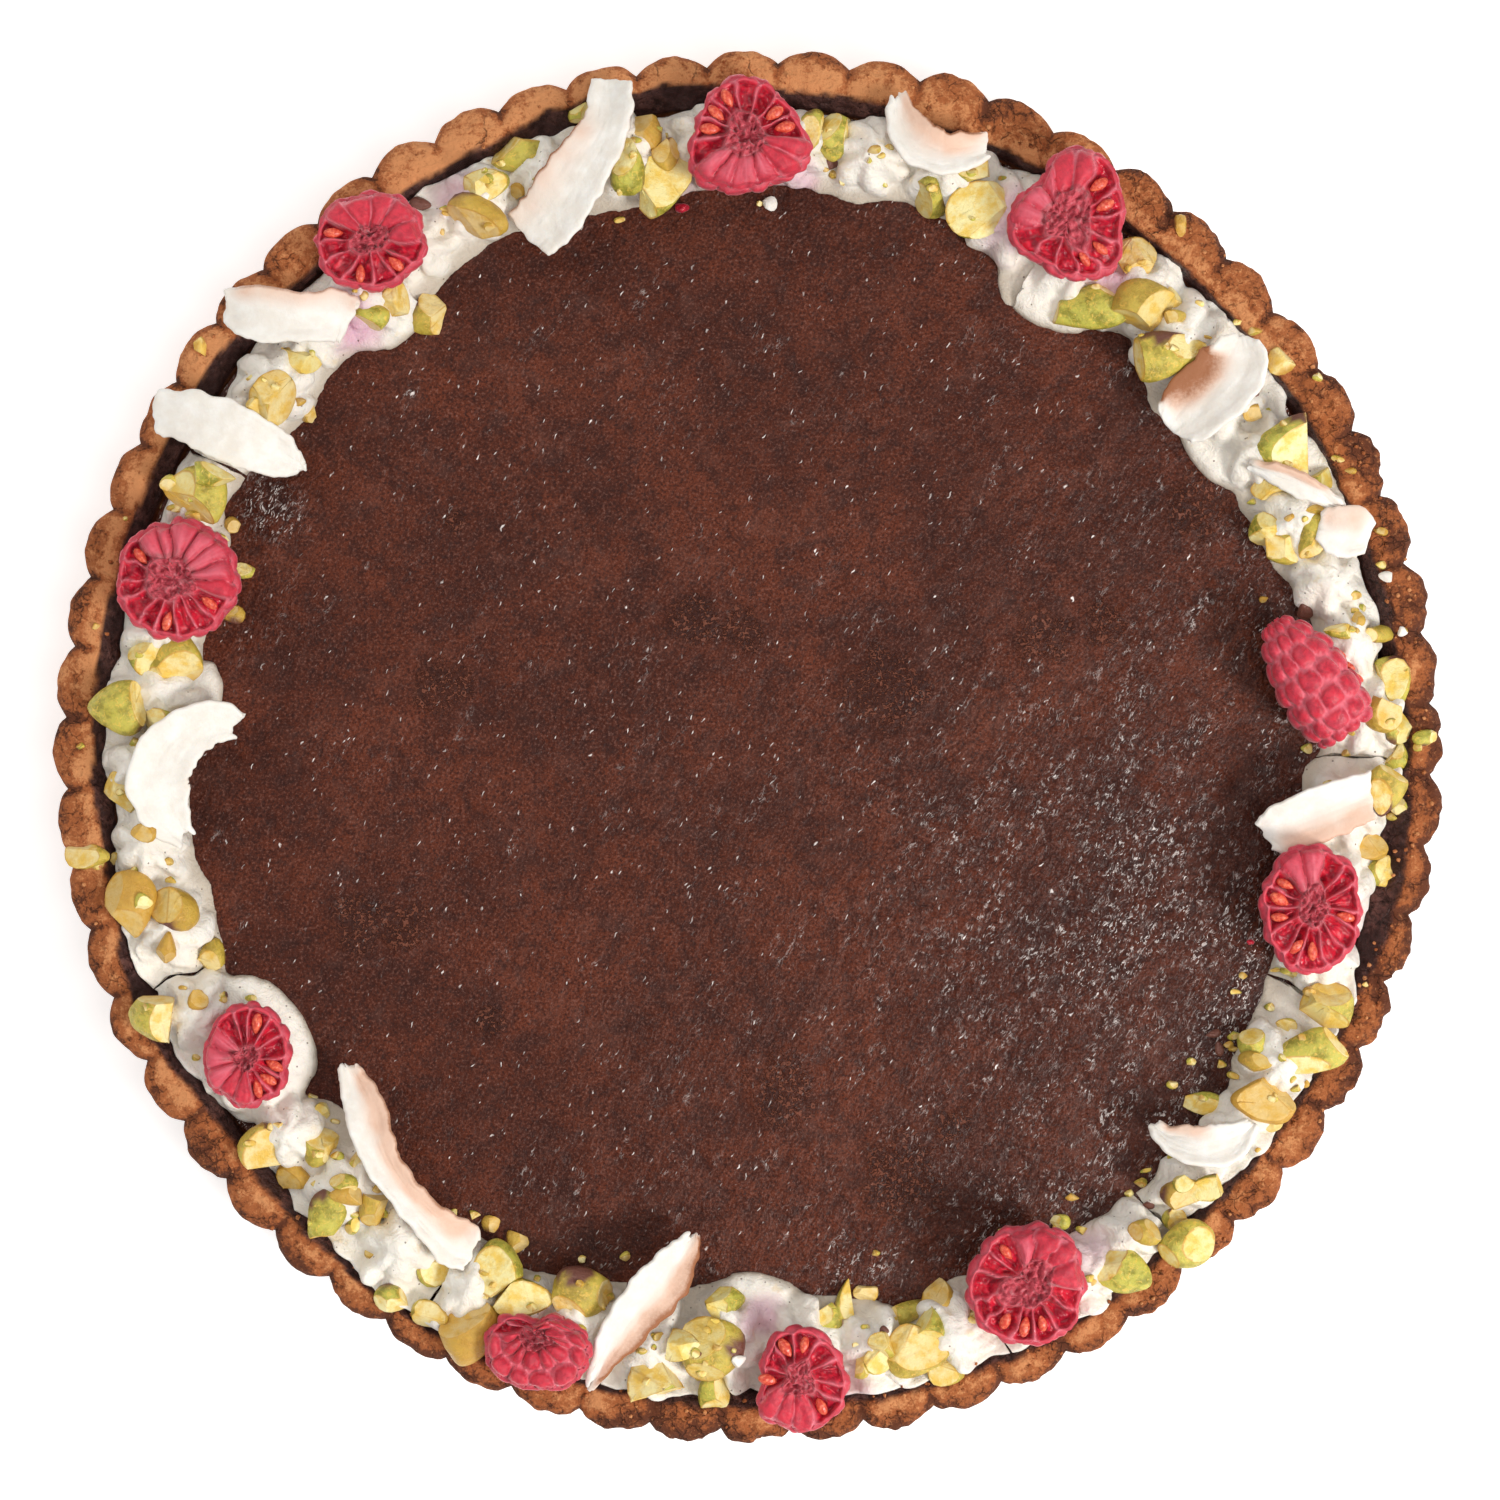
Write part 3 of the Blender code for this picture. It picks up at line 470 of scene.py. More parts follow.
def build_crust(sizes, colours):
    """The baked shell, with pillowed flutes, creases between them and a crumbled edge."""
    draw = seeded("flutes")
    offsets = [draw.uniform(-FLUTE_UNEVENNESS, 0.0) for _ in range(FLUTES)]
    bm = spun([(radius, height) for radius, height, _ in CRUST_SECTION], CRUST_STEPS)
    bake_and_notch_shade, inner, side = numbers_on(bm, "bake_and_notch_shade", "inner", "side")
    reach = {(round(radius, 2), round(height, 2)): fluting for radius, height, fluting in CRUST_SECTION}
    bm.normal_update()
    for vert in bm.verts:
        place = vert.co.copy()
        ground = flat(place)
        radius = ground.length
        height = place.z
        fluting = reach.get((round(radius, 2), round(height, 2)), 0)
        if radius < CRUST_FLOOR_RADIUS:
            continue
        angle = math.atan2(place.y, place.x)
        bearing = math.degrees(angle)
        full, across, offset = crust_flute(angle, offsets)
        outward = ground / radius
        crumbly = min(1.0, max(0.08, 0.5 + 0.75 * math.cos(angle + math.radians(40))))
        notch = math.exp(-((1 - across) / 0.13) ** 2)
        broad = rough(place, 17.0, 3.1)
        flake = rough(place, 4.2, 7.7)
        grit = rough(place, 1.35, 11.9)
        wear = rough(place, 2.4, 5.3)
        top = ease(18.0, 24.0, height) if radius > 111.6 else 0.0
        rim = top * ease(112.2, 115.0, radius)
        outer = ease(117.2, 119.4, radius)
        move = outward * ((full - 1) * FLUTE_DEPTH + offset * full + between(REACH, bearing)) * fluting
        move.z += (0.16 * full - 0.45 * notch) * rim * sizes.flute_relief
        move -= outward * notch * 0.5 * fluting * (1 - top)
        pit = ease(0.3, 0.55, wear) * (0.15 + 0.65 * crumbly)
        relief = (0.26 * flake + (0.1 + 0.2 * crumbly) * grit - 0.5 * pit) * sizes.crumb_relief
        if height > 0.3 and radius > 111.2:
            move += vert.normal * relief
            move.z += broad * 0.45 * top
            edge = 0.5 * rough(ground, 6.5, 21.0) + 0.2 * broad + 0.3 * rough(ground, 2.6, 24.0)
            edge += crumbly * (0.55 * rough(ground, 4.6, 27.0) + 0.4 * rough(ground, 1.9, 29.0))
            move += outward * edge * fluting
            bite = ease(0.34, 0.6, rough(ground, 4.4, 31.0)) * crumbly
            move -= (outward * 1.2 + UP * 0.5) * bite * fluting * ease(20.0, 24.0, height)
        elif radius > 110.0 and height > 18:
            move += vert.normal * 0.25 * flake
        ledge = between(TOP_EDGE, bearing) + 0.7 * rough(ground, 5.0, 51.0) + 0.35 * rough(ground, 1.7, 53.0)
        inside = ledge - radius
        if inside > 0 and radius > 110.7 and height > 21:
            slope = (RIM_HEIGHT - WALL_FOOT[1]) / (ledge - WALL_FOOT[0])
            move.z = min(move.z, RIM_HEIGHT - inside * slope + 0.3 * flake + 0.15 * grit - height)
        # The bake number is the crust's baked tone by bearing. It also darkens the notches between the
        # flutes, which is a painted shade in the creases. It darkens the dug pits and the sides below the rim
        # too, and it lightens a band along the inner edge.
        vert[bake_and_notch_shade] = max(0.0, between(BAKE, bearing) + 0.28 * rough(place, 7.0, 41.0) + 0.22 * broad
                         + 0.34 * outer * (0.6 + flake) + 0.55 * notch * rim + 0.3 * pit + 0.2 * (1 - top)
                         - 0.4 * ease(2.4, 0.2, abs(inside + 1.4)) * (0.7 + flake))
        vert[side] = 1 - top
        wall = ease(-0.1, 0.45, inside) if radius > 110.7 else ease(108.0, 110.0, radius)
        vert[inner] = wall * ease(19.0, 20.5, height)
        vert.co += move
    remember_ground(bm)
    return finished("crust_shell", bm, [crust_finish(colours)], ["crust"])


def ganache_finish(colours):
    """Set dark ganache: mottled, with a faint greyish bloom, fine ripples and bubble patches, with painted
    glints, a painted highlight on the bubbles' tops and painted shade in its dents and hollows.
    """
    made = Finish("set ganache", Specular_IOR_Level=0.14)
    gloss = made.attribute("gloss")
    bubbles = made.attribute("bubbles")
    mottle = made.grain(24.0, detail=6.0, roughness=0.66)
    bloom = made.ramp(made.grain(9.0, detail=7.0, roughness=0.75, distortion=0.5), 0.5, 0.74)
    dust = made.ramp(made.grain(0.6, roughness=0.6), 0.56, 0.74)
    speckle = made.grain(0.5, roughness=0.7)
    # The patchy noise also raises the dents in the bump. Where it dips, the colour takes a painted shade.
    patchy = made.grain(3.6, detail=5.0, roughness=0.68, distortion=0.4)

    # The glints are highlights painted into the colour. They gather along slanting crests, in clusters, and
    # thicken where the filling is glossy.
    slant = made.mapped((0.6, 2.1, 1.0), -60, made.wandering(2.0, 1.9))
    ripple = made.grain(3.4, detail=5.0, roughness=0.6, distortion=0.8)
    gather = made.grain(5.0, detail=4.0, roughness=0.7, place=slant)
    cluster = made.grain(11.0, place=slant)
    reach = made.ramp(made.weighed((gloss, 0.2), (gather, 0.6), (cluster, 0.45)), 0.6, 0.92)
    crest = made.grain(2.0, roughness=0.62, place=slant)
    fold = made.maths("ABSOLUTE", made.less(crest, 0.5), 0.0)
    broken = made.ramp(made.grain(1.1, detail=2.0), 0.46, 0.6)
    line = made.times(made.ramp(fold, 0.04, 0.0), made.times(reach, broken))
    spark = made.ramp(made.less(made.cells(1.2, place=slant), made.times(reach, 0.24)), 0.03, -0.07)
    dense = made.times(made.ramp(gloss, 0.85, 1.5), made.span(gather, 0.05, 0.46))
    close = made.ramp(made.less(made.cells(0.8, place=slant), dense), 0.02, -0.06)
    stray = made.times(made.ramp(made.cells(2.2, place=slant), 0.15, 0.05), made.ramp(gather, 0.42, 0.56))
    painted_glint = made.most(made.most(made.most(line, made.times(spark, 0.6)), close), stray)
    painted_glint_share = made.times(painted_glint, made.span(made.ramp(made.grain(1.9, detail=2.0), 0.35, 0.65), 0.3, 0.95))
    # A painted shade in the trough beside each glint crest.
    glint_trough_shade = made.times(made.ramp(crest, 0.49, 0.44), made.ramp(crest, 0.34, 0.41))
    tops = made.ramp(made.grain(0.72, detail=1.5, distortion=1.2), 0.5, 0.6)
    # Painted light in these coats: painted shade in the dents, in the trough beside each glint crest and in
    # the hollows between the bubbles, a painted highlight on the bubbles' tops, and the glints, which are
    # painted highlights. The filling is also darker where it is glossier.
    tone = made.coated(
        colours.ganache_dark,
        (made.ramp(mottle, 0.36, 0.64), colours.ganache),
        (made.times(made.ramp(patchy, 0.57, 0.35), 0.62), colours.ganache_deep_and_shade),
        (made.times(made.ramp(speckle, 0.52, 0.36), 0.85), colours.ganache_deep_and_shade),
        (made.times(made.ramp(speckle, 0.53, 0.68), 0.45), colours.ganache_bloom),
        (made.times(bloom, made.span(gloss, 0.16, 0.2)), colours.ganache_bloom),
        (made.times(dust, 0.1), colours.ganache_bloom),
        (made.times(made.ramp(gloss, 0.5, 1.3), 0.34), colours.ganache_deep_and_shade),
        (made.times(glint_trough_shade, made.span(reach, 0.28, 0.85)), colours.ganache_deep_and_shade),
        (painted_glint_share, colours.painted_glint),
        (made.times(made.less(1.0, tops), made.times(bubbles, 0.5)), colours.ganache_deep_and_shade),
        (made.times(tops, made.times(bubbles, 0.55)), colours.ganache_bubble_highlight),
    )
    relief = made.weighed((ripple, made.span(gloss, 0.5, 1.5)), (crest, made.span(gloss, 0.4, 1.1)),
                          (patchy, 0.8), (tops, made.times(bubbles, 0.9)))
    dull = made.plus(made.span(gloss, 0.5, 0.2), made.times(bloom, 0.1))
    return made.done(tone, dull, made.bump(relief, 0.4))


# Patches of small bubbles in the ganache: x, y and reach
BUBBLE_PATCHES = (
    (-10, 21.5, 5.5), (-1, 20, 4.5), (24, 9.5, 8.5), (26, -75, 8), (6, -60, 7), (62, 20.5, 4.5),
    (51, 19, 5.5), (-53, 10.5, 5.5), (78, 42, 7), (-68, -31, 6), (-60, -31.5, 5), (-51, 39, 2), (-45, -48, 3),
    (35, -66, 4),
)


# Where the filling is glossier and the painted glints gather: x, y and reach
GLINT_SPOT = (62, -30, 22.0)
GLINT_CORNER = (-84, 42, 5.0)


def glow(place, spot):
    """1 in the middle of a round spot, and less with the distance from it."""
    x, y, reach = spot
    return math.exp(-((place.x - x) ** 2 + (place.y - y) ** 2) / (2 * reach ** 2))


def build_ganache(sizes, colours):
    """The filling, with a low swell, a soft lip at the wall and shallow dents."""
    rings = [0.0, 0.6] + [1.4 + index * 0.998 for index in range(110)]
    profile = [*GANACHE_UNDERSIDE, *((radius, GANACHE_LEVEL) for radius in reversed(rings))]
    bm = spun(profile, GANACHE_STEPS)
    gloss, bubbles = numbers_on(bm, "gloss", "bubbles")
    for vert in bm.verts:
        place = vert.co.copy()
        if place.z < GANACHE_LEVEL - 1:
            continue
        radius = math.hypot(place.x, place.y)
        streak = Vector((place.x * 0.77 + place.y * 0.64, (place.y * 0.77 - place.x * 0.64) * 2.2, 0))
        right = ease(-30.0, 75.0, place.x * 0.85 - place.y * 0.45)
        swell = 0.18 * rough(place, 38.0, 1.0) + 0.09 * rough(place, 11.0, 2.0)
        ripple = (0.03 + 0.08 * right) * rough(streak, 4.5, 3.0)
        dent = -0.16 * ease(0.42, 0.7, rough(place, 5.0, 4.0))
        lip = 0.75 * ease(107.5, 110.8, radius + 0.9 * rough(place, 5.0, 6.0))
        patch = 0.0
        for x, y, reach in BUBBLE_PATCHES:
            away = math.hypot(place.x - x, place.y - y) / reach + 0.45 * rough(place, 3.5, 8.0)
            patch = max(patch, ease(1.1, 0.6, away))
        vert.co.z += (swell + ripple + dent + 0.12 * patch) * sizes.ganache_relief + lip
        spot = glow(place, GLINT_SPOT)
        corner = glow(place, GLINT_CORNER)
        edge = ease(84.0, 97.0, radius) * ease(-40.0, 60.0, place.x)
        # The gloss number sets the roughness. It also sets where the painted glints gather and where the
        # filling is darker.
        vert[gloss] = min(1.6, 0.2 + 0.42 * right + 0.6 * spot + 1.4 * corner + 0.3 * edge
                          + 0.25 * rough(place, 14.0, 9.0) + 0.9 * ease(103.0, 109.0, radius))
        vert[bubbles] = patch
    remember_ground(bm)
    return finished("ganache_filling", bm, [ganache_finish(colours)], ["ganache"])


def cream_finish(colours):
    """Soft whipped cream: warm white, thin and grey at its edge, with fine specks and lilac juice stains."""
    made = Finish("whipped cream", Specular_IOR_Level=0.35, Subsurface_Weight=0.18, Subsurface_Scale=0.0016,
                  Subsurface_Radius=(1.0, 0.75, 0.55))
    fine = made.grain(0.9, roughness=0.6)
    oily = made.ramp(made.grain(4.0, detail=4.0, roughness=0.6), 0.6, 0.72)
    tone = made.coated(
        colours.cream_shade,
        (made.ramp(made.grain(7.0), 0.35, 0.7), colours.cream),
        (made.times(oily, 0.5), colours.cream_tan),
        (made.attribute("thin"), colours.cream_edge),
        (made.times(made.attribute("stain"), made.span(fine, 0.55, 1.15)), colours.stain),
        (made.times(made.ramp(made.cells(2.1), 0.105, 0.06), 0.75), colours.speck),
    )
    torn = made.grain(2.4, detail=6.0, roughness=0.66, distortion=0.6)
    relief = made.weighed((fine, 1.0), (torn, 3.0))
    return made.done(tone, made.span(fine, 0.42, 0.62), made.bump(relief, 0.26, 0.9))


DOLLOP_SECTION = (
    (0, -0.1), (0.88, -0.1), (0.97, 0.02), (1, 0.12), (0.98, 0.24), (0.93, 0.36), (0.85, 0.48), (0.74, 0.6),
    (0.6, 0.71), (0.45, 0.8), (0.3, 0.875), (0.17, 0.935), (0.07, 0.98), (0, 1),
)
SKIRT_SECTION = (
    (0, -0.9), (0, -0.05), (0.05, 0.3), (0.16, 0.75), (0.35, 1.4), (0.6, 2.1), (0.85, 2), (0.98, 1.1),
    (1, -0.9),
)

# Where dark ganache shows between the cream and the crust: bearing, half width and depth
CREAM_GAPS = (
    (0, 1.4, 1.6), (7, 1.6, 1.8), (31.5, 1.8, 1.8), (45.5, 1.2, 1.6), (52, 2.2, 2.2), (66, 1.2, 1.6),
    (75, 1.2, 1.2), (136, 1.6, 1.4), (145.5, 2.6, 0.8), (158, 2, 1), (169, 3.6, 0.5), (186.5, 3, 1.4),
    (202.5, 1.8, 2.4), (218.5, 2, 4.2), (269.5, 2, 2.6), (342, 1.6, 1.2),
)


# How far the cream spreads up the crust's inner wall: bearing and radius
CREAM_REACH = (
    (0, 113), (12, 110.8), (24, 111.4), (36, 111.6), (60, 111), (72, 110.8), (84, 110.4), (98, 110.7),
    (108, 111.3), (120, 111.5), (132, 111), (144, 110.4), (156, 110.4), (168, 111.2), (192, 112),
    (204, 113.6), (216, 111.2), (228, 112), (240, 114.8), (252, 113.4), (276, 113.6), (288, 114.2),
    (300, 114.2), (312, 111.6), (324, 113), (336, 113.2), (348, 110.4), (360, 113),
)


def cream_outer(bearing):
    """The radius where the cream ends towards the crust."""
    radius = between(CREAM_REACH, bearing)
    radius += 1.1 * rough(polar(bearing, 110), 6.0, 61.0) + 0.7 * rough(polar(bearing, 110), 2.6, 63.0)
    for middle, half, depth in CREAM_GAPS:
        aside = (bearing - middle + 180) % 360 - 180
        radius -= depth * math.exp(-(aside / half) ** 2)
    return radius


def skirt(first, last):
    """The thin cream between the piping and its feathered inner edge."""
    bm = bmesh.new()
    verts = [bm.verts.new((100 + 10 * share, 0, CREAM_SEAT + height)) for share, height in SKIRT_SECTION]
    edges = [bm.edges.new(pair) for pair in zip(verts, verts[1:] + verts[:1])]
    bmesh.ops.rotate(bm, verts=verts, cent=(0, 0, 0), matrix=Matrix.Rotation(math.radians(first), 3, "Z"))
    bmesh.ops.spin(bm, geom=verts + edges, cent=(0, 0, 0), axis=(0, 0, 1), angle=math.radians(last - first),
                   steps=int((last - first) * 2))
    bmesh.ops.holes_fill(bm, edges=bm.edges, sides=0)
    bmesh.ops.recalc_face_normals(bm, faces=bm.faces)
    for vert in bm.verts:
        share = (math.hypot(vert.co.x, vert.co.y) - 100) / 10
        bearing = math.degrees(math.atan2(vert.co.y, vert.co.x))
        inner_edge = between(CREAM_EDGE, bearing) + 0.5 * rough(polar(bearing, 95), 2.6, 4.0)
        place = polar(bearing, inner_edge + (cream_outer(bearing) - inner_edge) * share, vert.co.z)
        vert.co = place
    return bm


def dollop(bearing, inner, ridge_depth):
    """One piped star: rounded ridges with sharp furrows that turn as they rise to a leaning tip."""
    draw = seeded(f"dollop {bearing}")
    height = draw.uniform(*DOLLOP_HEIGHTS)
    outer = max(CREAM_OUTER_RADIUS, cream_outer(bearing) + 0.3)
    middle = (outer + inner) / 2
    half = (outer - inner) / 2
    ridges = draw.choice((6, 6, 7))
    phase = draw.uniform(0, math.tau)
    twist = draw.uniform(0.25, 0.75)
    lean = Vector((draw.uniform(-1, 1), draw.uniform(-1, 1), 0)) * 0.16
    bm = spun(DOLLOP_SECTION, DOLLOP_STEPS)
    for vert in bm.verts:
        share = max(0.0, vert.co.z)
        angle = math.atan2(vert.co.y, vert.co.x) + twist * share + phase
        lobe = abs(math.cos(angle * ridges / 2)) ** 0.75
        fold = 1 - (ridge_depth + 0.3 * share) * (1 - lobe)
        vert.co.x *= fold
        vert.co.y *= fold
        vert.co += lean * share * share
    half_span = DOLLOP_HALF_SPAN * draw.uniform(0.84, 0.95)
    return moved(bm, turned(bearing) @ Matrix.Translation((middle, 0, CREAM_SEAT))
                 @ Matrix.Diagonal((half, half_span, height, 1)))


def stain_at(place):
    """How strongly berry juice has stained the cream at a place."""
    ragged = 0.3 * rough(place, 4.0, 17.0)
    strength = 0.0
    for bearing, distance, reach, amount in STAINS:
        away = (place - polar(bearing, distance, place.z)).length / reach + ragged
        strength = max(strength, amount * ease(1.1, 0.25, away))
    return strength


def in_run(bearing, first, last):
    return first <= (bearing - first) % 360 + first < last


def cut_off(bm, plane, normal, snap=0.0):
    """Cuts off what lies beyond a plane, closes the cut and returns the faces that this makes."""
    cut = bmesh.ops.bisect_plane(bm, geom=bm.verts[:] + bm.edges[:] + bm.faces[:], dist=snap, plane_co=plane,
                                 plane_no=normal, clear_outer=True)
    edges = [item for item in cut["geom_cut"] if isinstance(item, bmesh.types.BMEdge)]
    return bmesh.ops.holes_fill(bm, edges=edges, sides=0)["faces"] if edges else []


def smoothed(bm, verts):
    bmesh.ops.smooth_vert(bm, verts=verts, factor=0.5, use_axis_x=True, use_axis_y=True, use_axis_z=True)


def build_cream(sizes, colours):
    """The ring of piped cream in its runs, parted by ragged cracks."""
    finish = cream_finish(colours)
    for index, (first, last) in enumerate(zip(RUN_ENDS, RUN_ENDS[1:])):
        bm = skirt(first - 0.6, last + 0.6)
        for entry in DOLLOPS:
            if in_run(entry[0], first, last):
                poured_into(bm, dollop(*entry, sizes.ridge_depth))
        for bearing, distance, outward, sideways, height in POOLS:
            if in_run(bearing, first, last):
                place = turned(bearing) @ Matrix.Translation((distance, 0, CREAM_SEAT - 0.2))
                swollen = Matrix.Diagonal((outward * 1.05, sideways * 1.05, height, 1))
                poured_into(bm, moved(ellipsoid(28, 16), place @ swollen))
        bm = voxelled(bm, sizes.cream_grain)
        smoothed(bm, bm.verts)
        for _ in range(3):
            smoothed(bm, [vert for vert in bm.verts if flat(vert.co).length < THIN_CREAM_RADIUS])
        for bearing, side in ((first, -1), (last, 1)):
            normal = polar(bearing + 90, 1.0) * side
            gap = CRACK_HALF_WIDTH if bearing in CRACKS else -RUN_OVERLAP
            cut_off(bm, -normal * gap, normal, snap=0.0001)
        stain, thin = numbers_on(bm, "stain", "thin")
        bm.normal_update()
        for vert in bm.verts:
            place = vert.co.copy()
            ground = flat(place)
            raised = ease(20.6, 22.5, place.z)
            around = Vector((-place.y, place.x, 0)).normalized()
            move = around * (1.3 * rough(ground, 5.2, 2.0) + 0.5 * rough(ground, 1.9, 6.0))
            folds = 0.26 * rough(place, 3.4, 9.0) + 0.14 * rough(place, 1.5, 13.0)
            move.z += min(4.0, 1.3 * max(0.0, ground.length - 110.6))
            move += vert.normal * folds * (0.35 + 0.65 * raised) * sizes.cream_relief
            vert[stain] = stain_at(place)
            vert[thin] = ease(2.0, 0.1, place.z - CREAM_SEAT) * ease(106.0, 101.0, ground.length)
            vert.co += move
            vert.co.z = max(vert.co.z, CREAM_FLOOR)
        remember_ground(bm)
        name = f"cream_{index + 1}"
        finished(f"piped_{name}", bm, [finish], [name], smooth_angle=60)


# Half raspberries, cut face up: bearing, distance, size along X and Y, height, notch bearing and share, the
# bulge of the outline as bearing, share and lobes, the hollow's offset and share of the radius, and the cells
# counter-clockwise from +X. Of these o is open with a seed, w open and wet, l a dusty lobe, p a plain dome
# and d two domes in a row.
HALF_BERRIES = (
    (90.3, 104.3, 20.7, 20, 9.6, 315, 0.05, 100, 0.1, 3, (0, 0.04), 0.44, "oowwooowllllpp"),
    (126.9, 108.6, 19, 17.6, 9, 0, 0, 30, 0.03, 2, (0.02, -0.02), 0.34, "pppppowwowww"),
    (58.9, 106.6, 19.8, 22.8, 10, 140, 0.22, 70, 0.07, 3, (-0.05, -0.1), 0.46, "oopplllwwwoow"),
    (163.9, 102.3, 21.2, 21.2, 9.8, 0, 0, 120, 0.02, 3, (-0.04, 0.02), 0.42, "llllllwwwwwwwwop"),
    (211.7, 101.6, 15.1, 17.6, 8.2, 0, 0, 70, 0.03, 2, (0, -0.02), 0.3, "wwwwwlllppoww"),
    (250.6, 110, 18, 14.6, 8.4, 92, 0.34, 330, 0.05, 2, (-0.02, 0.3), 0.3, "dddwwdddddd"),
    (274.6, 109.6, 16.6, 18, 8.6, 180, 0.18, 100, 0.03, 3, (-0.04, 0.08), 0.36, "wwoowopppww"),
    (297.3, 104.2, 20.5, 21.4, 9.6, 0, 0, 40, 0.04, 2, (0.02, 0.04), 0.42, "ppplwwwwoooww"),
    (343.9, 100.6, 18, 21.2, 9.2, 0, 0, 80, 0.04, 2, (0, 0.02), 0.36, "wwwllowowoowww"),
)
BERRY_SEAT = 25.4
BERRY_SECTION = (
    (0, 0.05), (0.36, 0), (0.66, 0.08), (0.87, 0.27), (0.98, 0.5), (1, 0.7), (0.965, 0.85), (0.88, 0.95),
    (0.77, 0.99), (0.65, 0.99), (0.53, 0.975), (0.42, 0.94), (0.31, 0.9), (0.17, 0.88), (0, 0.875),
)
BERRY_SHRINK = 0.955
BERRY_LEAN = 0.991
BERRY_WELD = 0.00005
BERRY_LAYERS = ("dust", "pale", "core", "wet")
DRUPELET_SHARPNESS = 2.6

# Where the outer rows of drupelets begin and where the cut face and the hollow begin, along the section
ROW_ENDS = (0.04, 0.14, 0.27, 0.4)
FACE_START = 0.43
HOLLOW_START = 0.74


def smooth_through(stations, steps):
    """More stations between the given ones, on a smooth curve through them."""
    points = [Vector(station) for station in stations]
    padded = [points[0] * 2 - points[1], *points, points[-1] * 2 - points[-2]]
    curve = []
    for a, b, c, d in zip(padded, padded[1:], padded[2:], padded[3:]):
        for step in range(steps):
            t = step / steps
            curve.append(0.5 * (2 * b + (c - a) * t + (2 * a - 5 * b + 4 * c - d) * t * t
                                + (3 * b - a - 3 * c + d) * t ** 3))
    return curve + [points[-1]]


def cell_of(turn, count, jitter):
    """The cell that a place round the berry falls in, and how far across it lies, from -1 to 1."""
    base = math.floor(turn)
    for index in (base - 1, base, base + 1):
        start = index + jitter[index % count]
        end = index + 1 + jitter[(index + 1) % count]
        if start <= turn < end:
            return index % count, (turn - start) / (end - start) * 2 - 1
    return base % count, 0.0


def dome(across, along):
    """The swell of one drupelet, 1 on top and 0 at its border, and how near the border is."""
    reach = abs(across) ** DRUPELET_SHARPNESS + abs(along) ** DRUPELET_SHARPNESS
    return math.sqrt(max(0.0, 1 - min(1.0, reach))), ease(0.45, 1.0, reach)


def painted(vert, layers, *values):
    """Gives a point the numbers that its finish reads, kept from 0 to 1."""
    for layer, value in zip(layers, values):
        vert[layer] = max(0.0, min(1.0, value))


def berry_from(section, steps, curve_steps):
    """A spun berry, and its layers: the share along the section and those that the finish reads."""
    profile = [(point.x, point.y) for point in smooth_through(section, curve_steps)]
    bm = spun(profile, steps, weld=BERRY_WELD, marked=True)
    layers = numbers_on(bm, *BERRY_LAYERS)
    bm.normal_update()
    return bm, bm.verts.layers.float["along"], layers


def scaled(point, scale):
    return Vector((point.x * scale.x, point.y * scale.y, point.z * scale.z))


def raspberry_finish(colours):
    """Ripe raspberry: red skin with a dusty bloom, pale membranes, pale drupelet borders that paint the sheen
    along each drupelet's rim, wet flesh and a mauve core.
    """
    made = Finish("raspberry flesh", Specular_IOR_Level=0.42, Sheen_Weight=0.3, Sheen_Roughness=0.4,
                  Subsurface_Weight=0.12, Subsurface_Scale=0.0012, Subsurface_Radius=(1.0, 0.25, 0.2))
    wet = made.attribute("wet")
    pale = made.attribute("pale")
    mottle = made.grain(1.5, detail=4.0, roughness=0.65, distortion=0.5)
    fine = made.grain(0.42, roughness=0.6)
    dusty = made.times(made.attribute("dust"), made.span(mottle, 0.55, 1.25))
    flesh = made.mix(made.ramp(mottle, 0.38, 0.66), colours.berry_deep, colours.berry_wet)
    core = made.coated(colours.core_dark, (made.ramp(mottle, 0.36, 0.64), colours.core),
                       (made.times(pale, 0.8), colours.core_pale))
    tone = made.coated(
        colours.berry_dark,
        (made.ramp(mottle, 0.3, 0.7), colours.berry),
        (wet, flesh),
        (made.maths("MINIMUM", dusty, 1.0), colours.berry_dust),
        (made.times(pale, made.span(fine, 0.5, 1.1)), colours.berry_pale_and_rim_sheen),
        (made.attribute("core"), core),
    )
    relief = made.weighed((mottle, 0.7), (fine, 0.45))
    return made.done(tone, made.span(wet, 0.52, 0.17), made.bump(relief, 0.32, 0.8))


def seed_finish(colours):
    """Raspberry seeds: coral, netted and wet."""
    made = Finish("raspberry seed", Roughness=0.32, Specular_IOR_Level=0.5)
    fine = made.grain(0.5, detail=3.0)
    tone = made.mix(made.ramp(fine, 0.4, 0.68), colours.seed_dark, colours.seed)
    return made.done(tone, None, made.bump(made.cells(0.4), 0.1, 0.6))


def add_seed(bm, centre, bearing, length, tilt, draw):
    """A teardrop seed that points at the middle of its berry."""
    seed = ellipsoid(12, 8)
    for vert in seed.verts:
        taper = 1 - 0.42 * ease(0.1, 1.0, -vert.co.x)
        vert.co.y *= taper
        vert.co.z *= taper
    wide = draw.uniform(0.46, 0.58)
    half = length / 2
    moved(seed, Matrix.Translation(centre) @ Matrix.Rotation(bearing + draw.uniform(-0.3, 0.3), 4, "Z")
          @ Matrix.Rotation(tilt, 4, "Y") @ Matrix.Diagonal((half, half * wide, half * 0.42, 1)))
    for face in seed.faces:
        face.material_index = 1
    return poured_into(bm, seed)


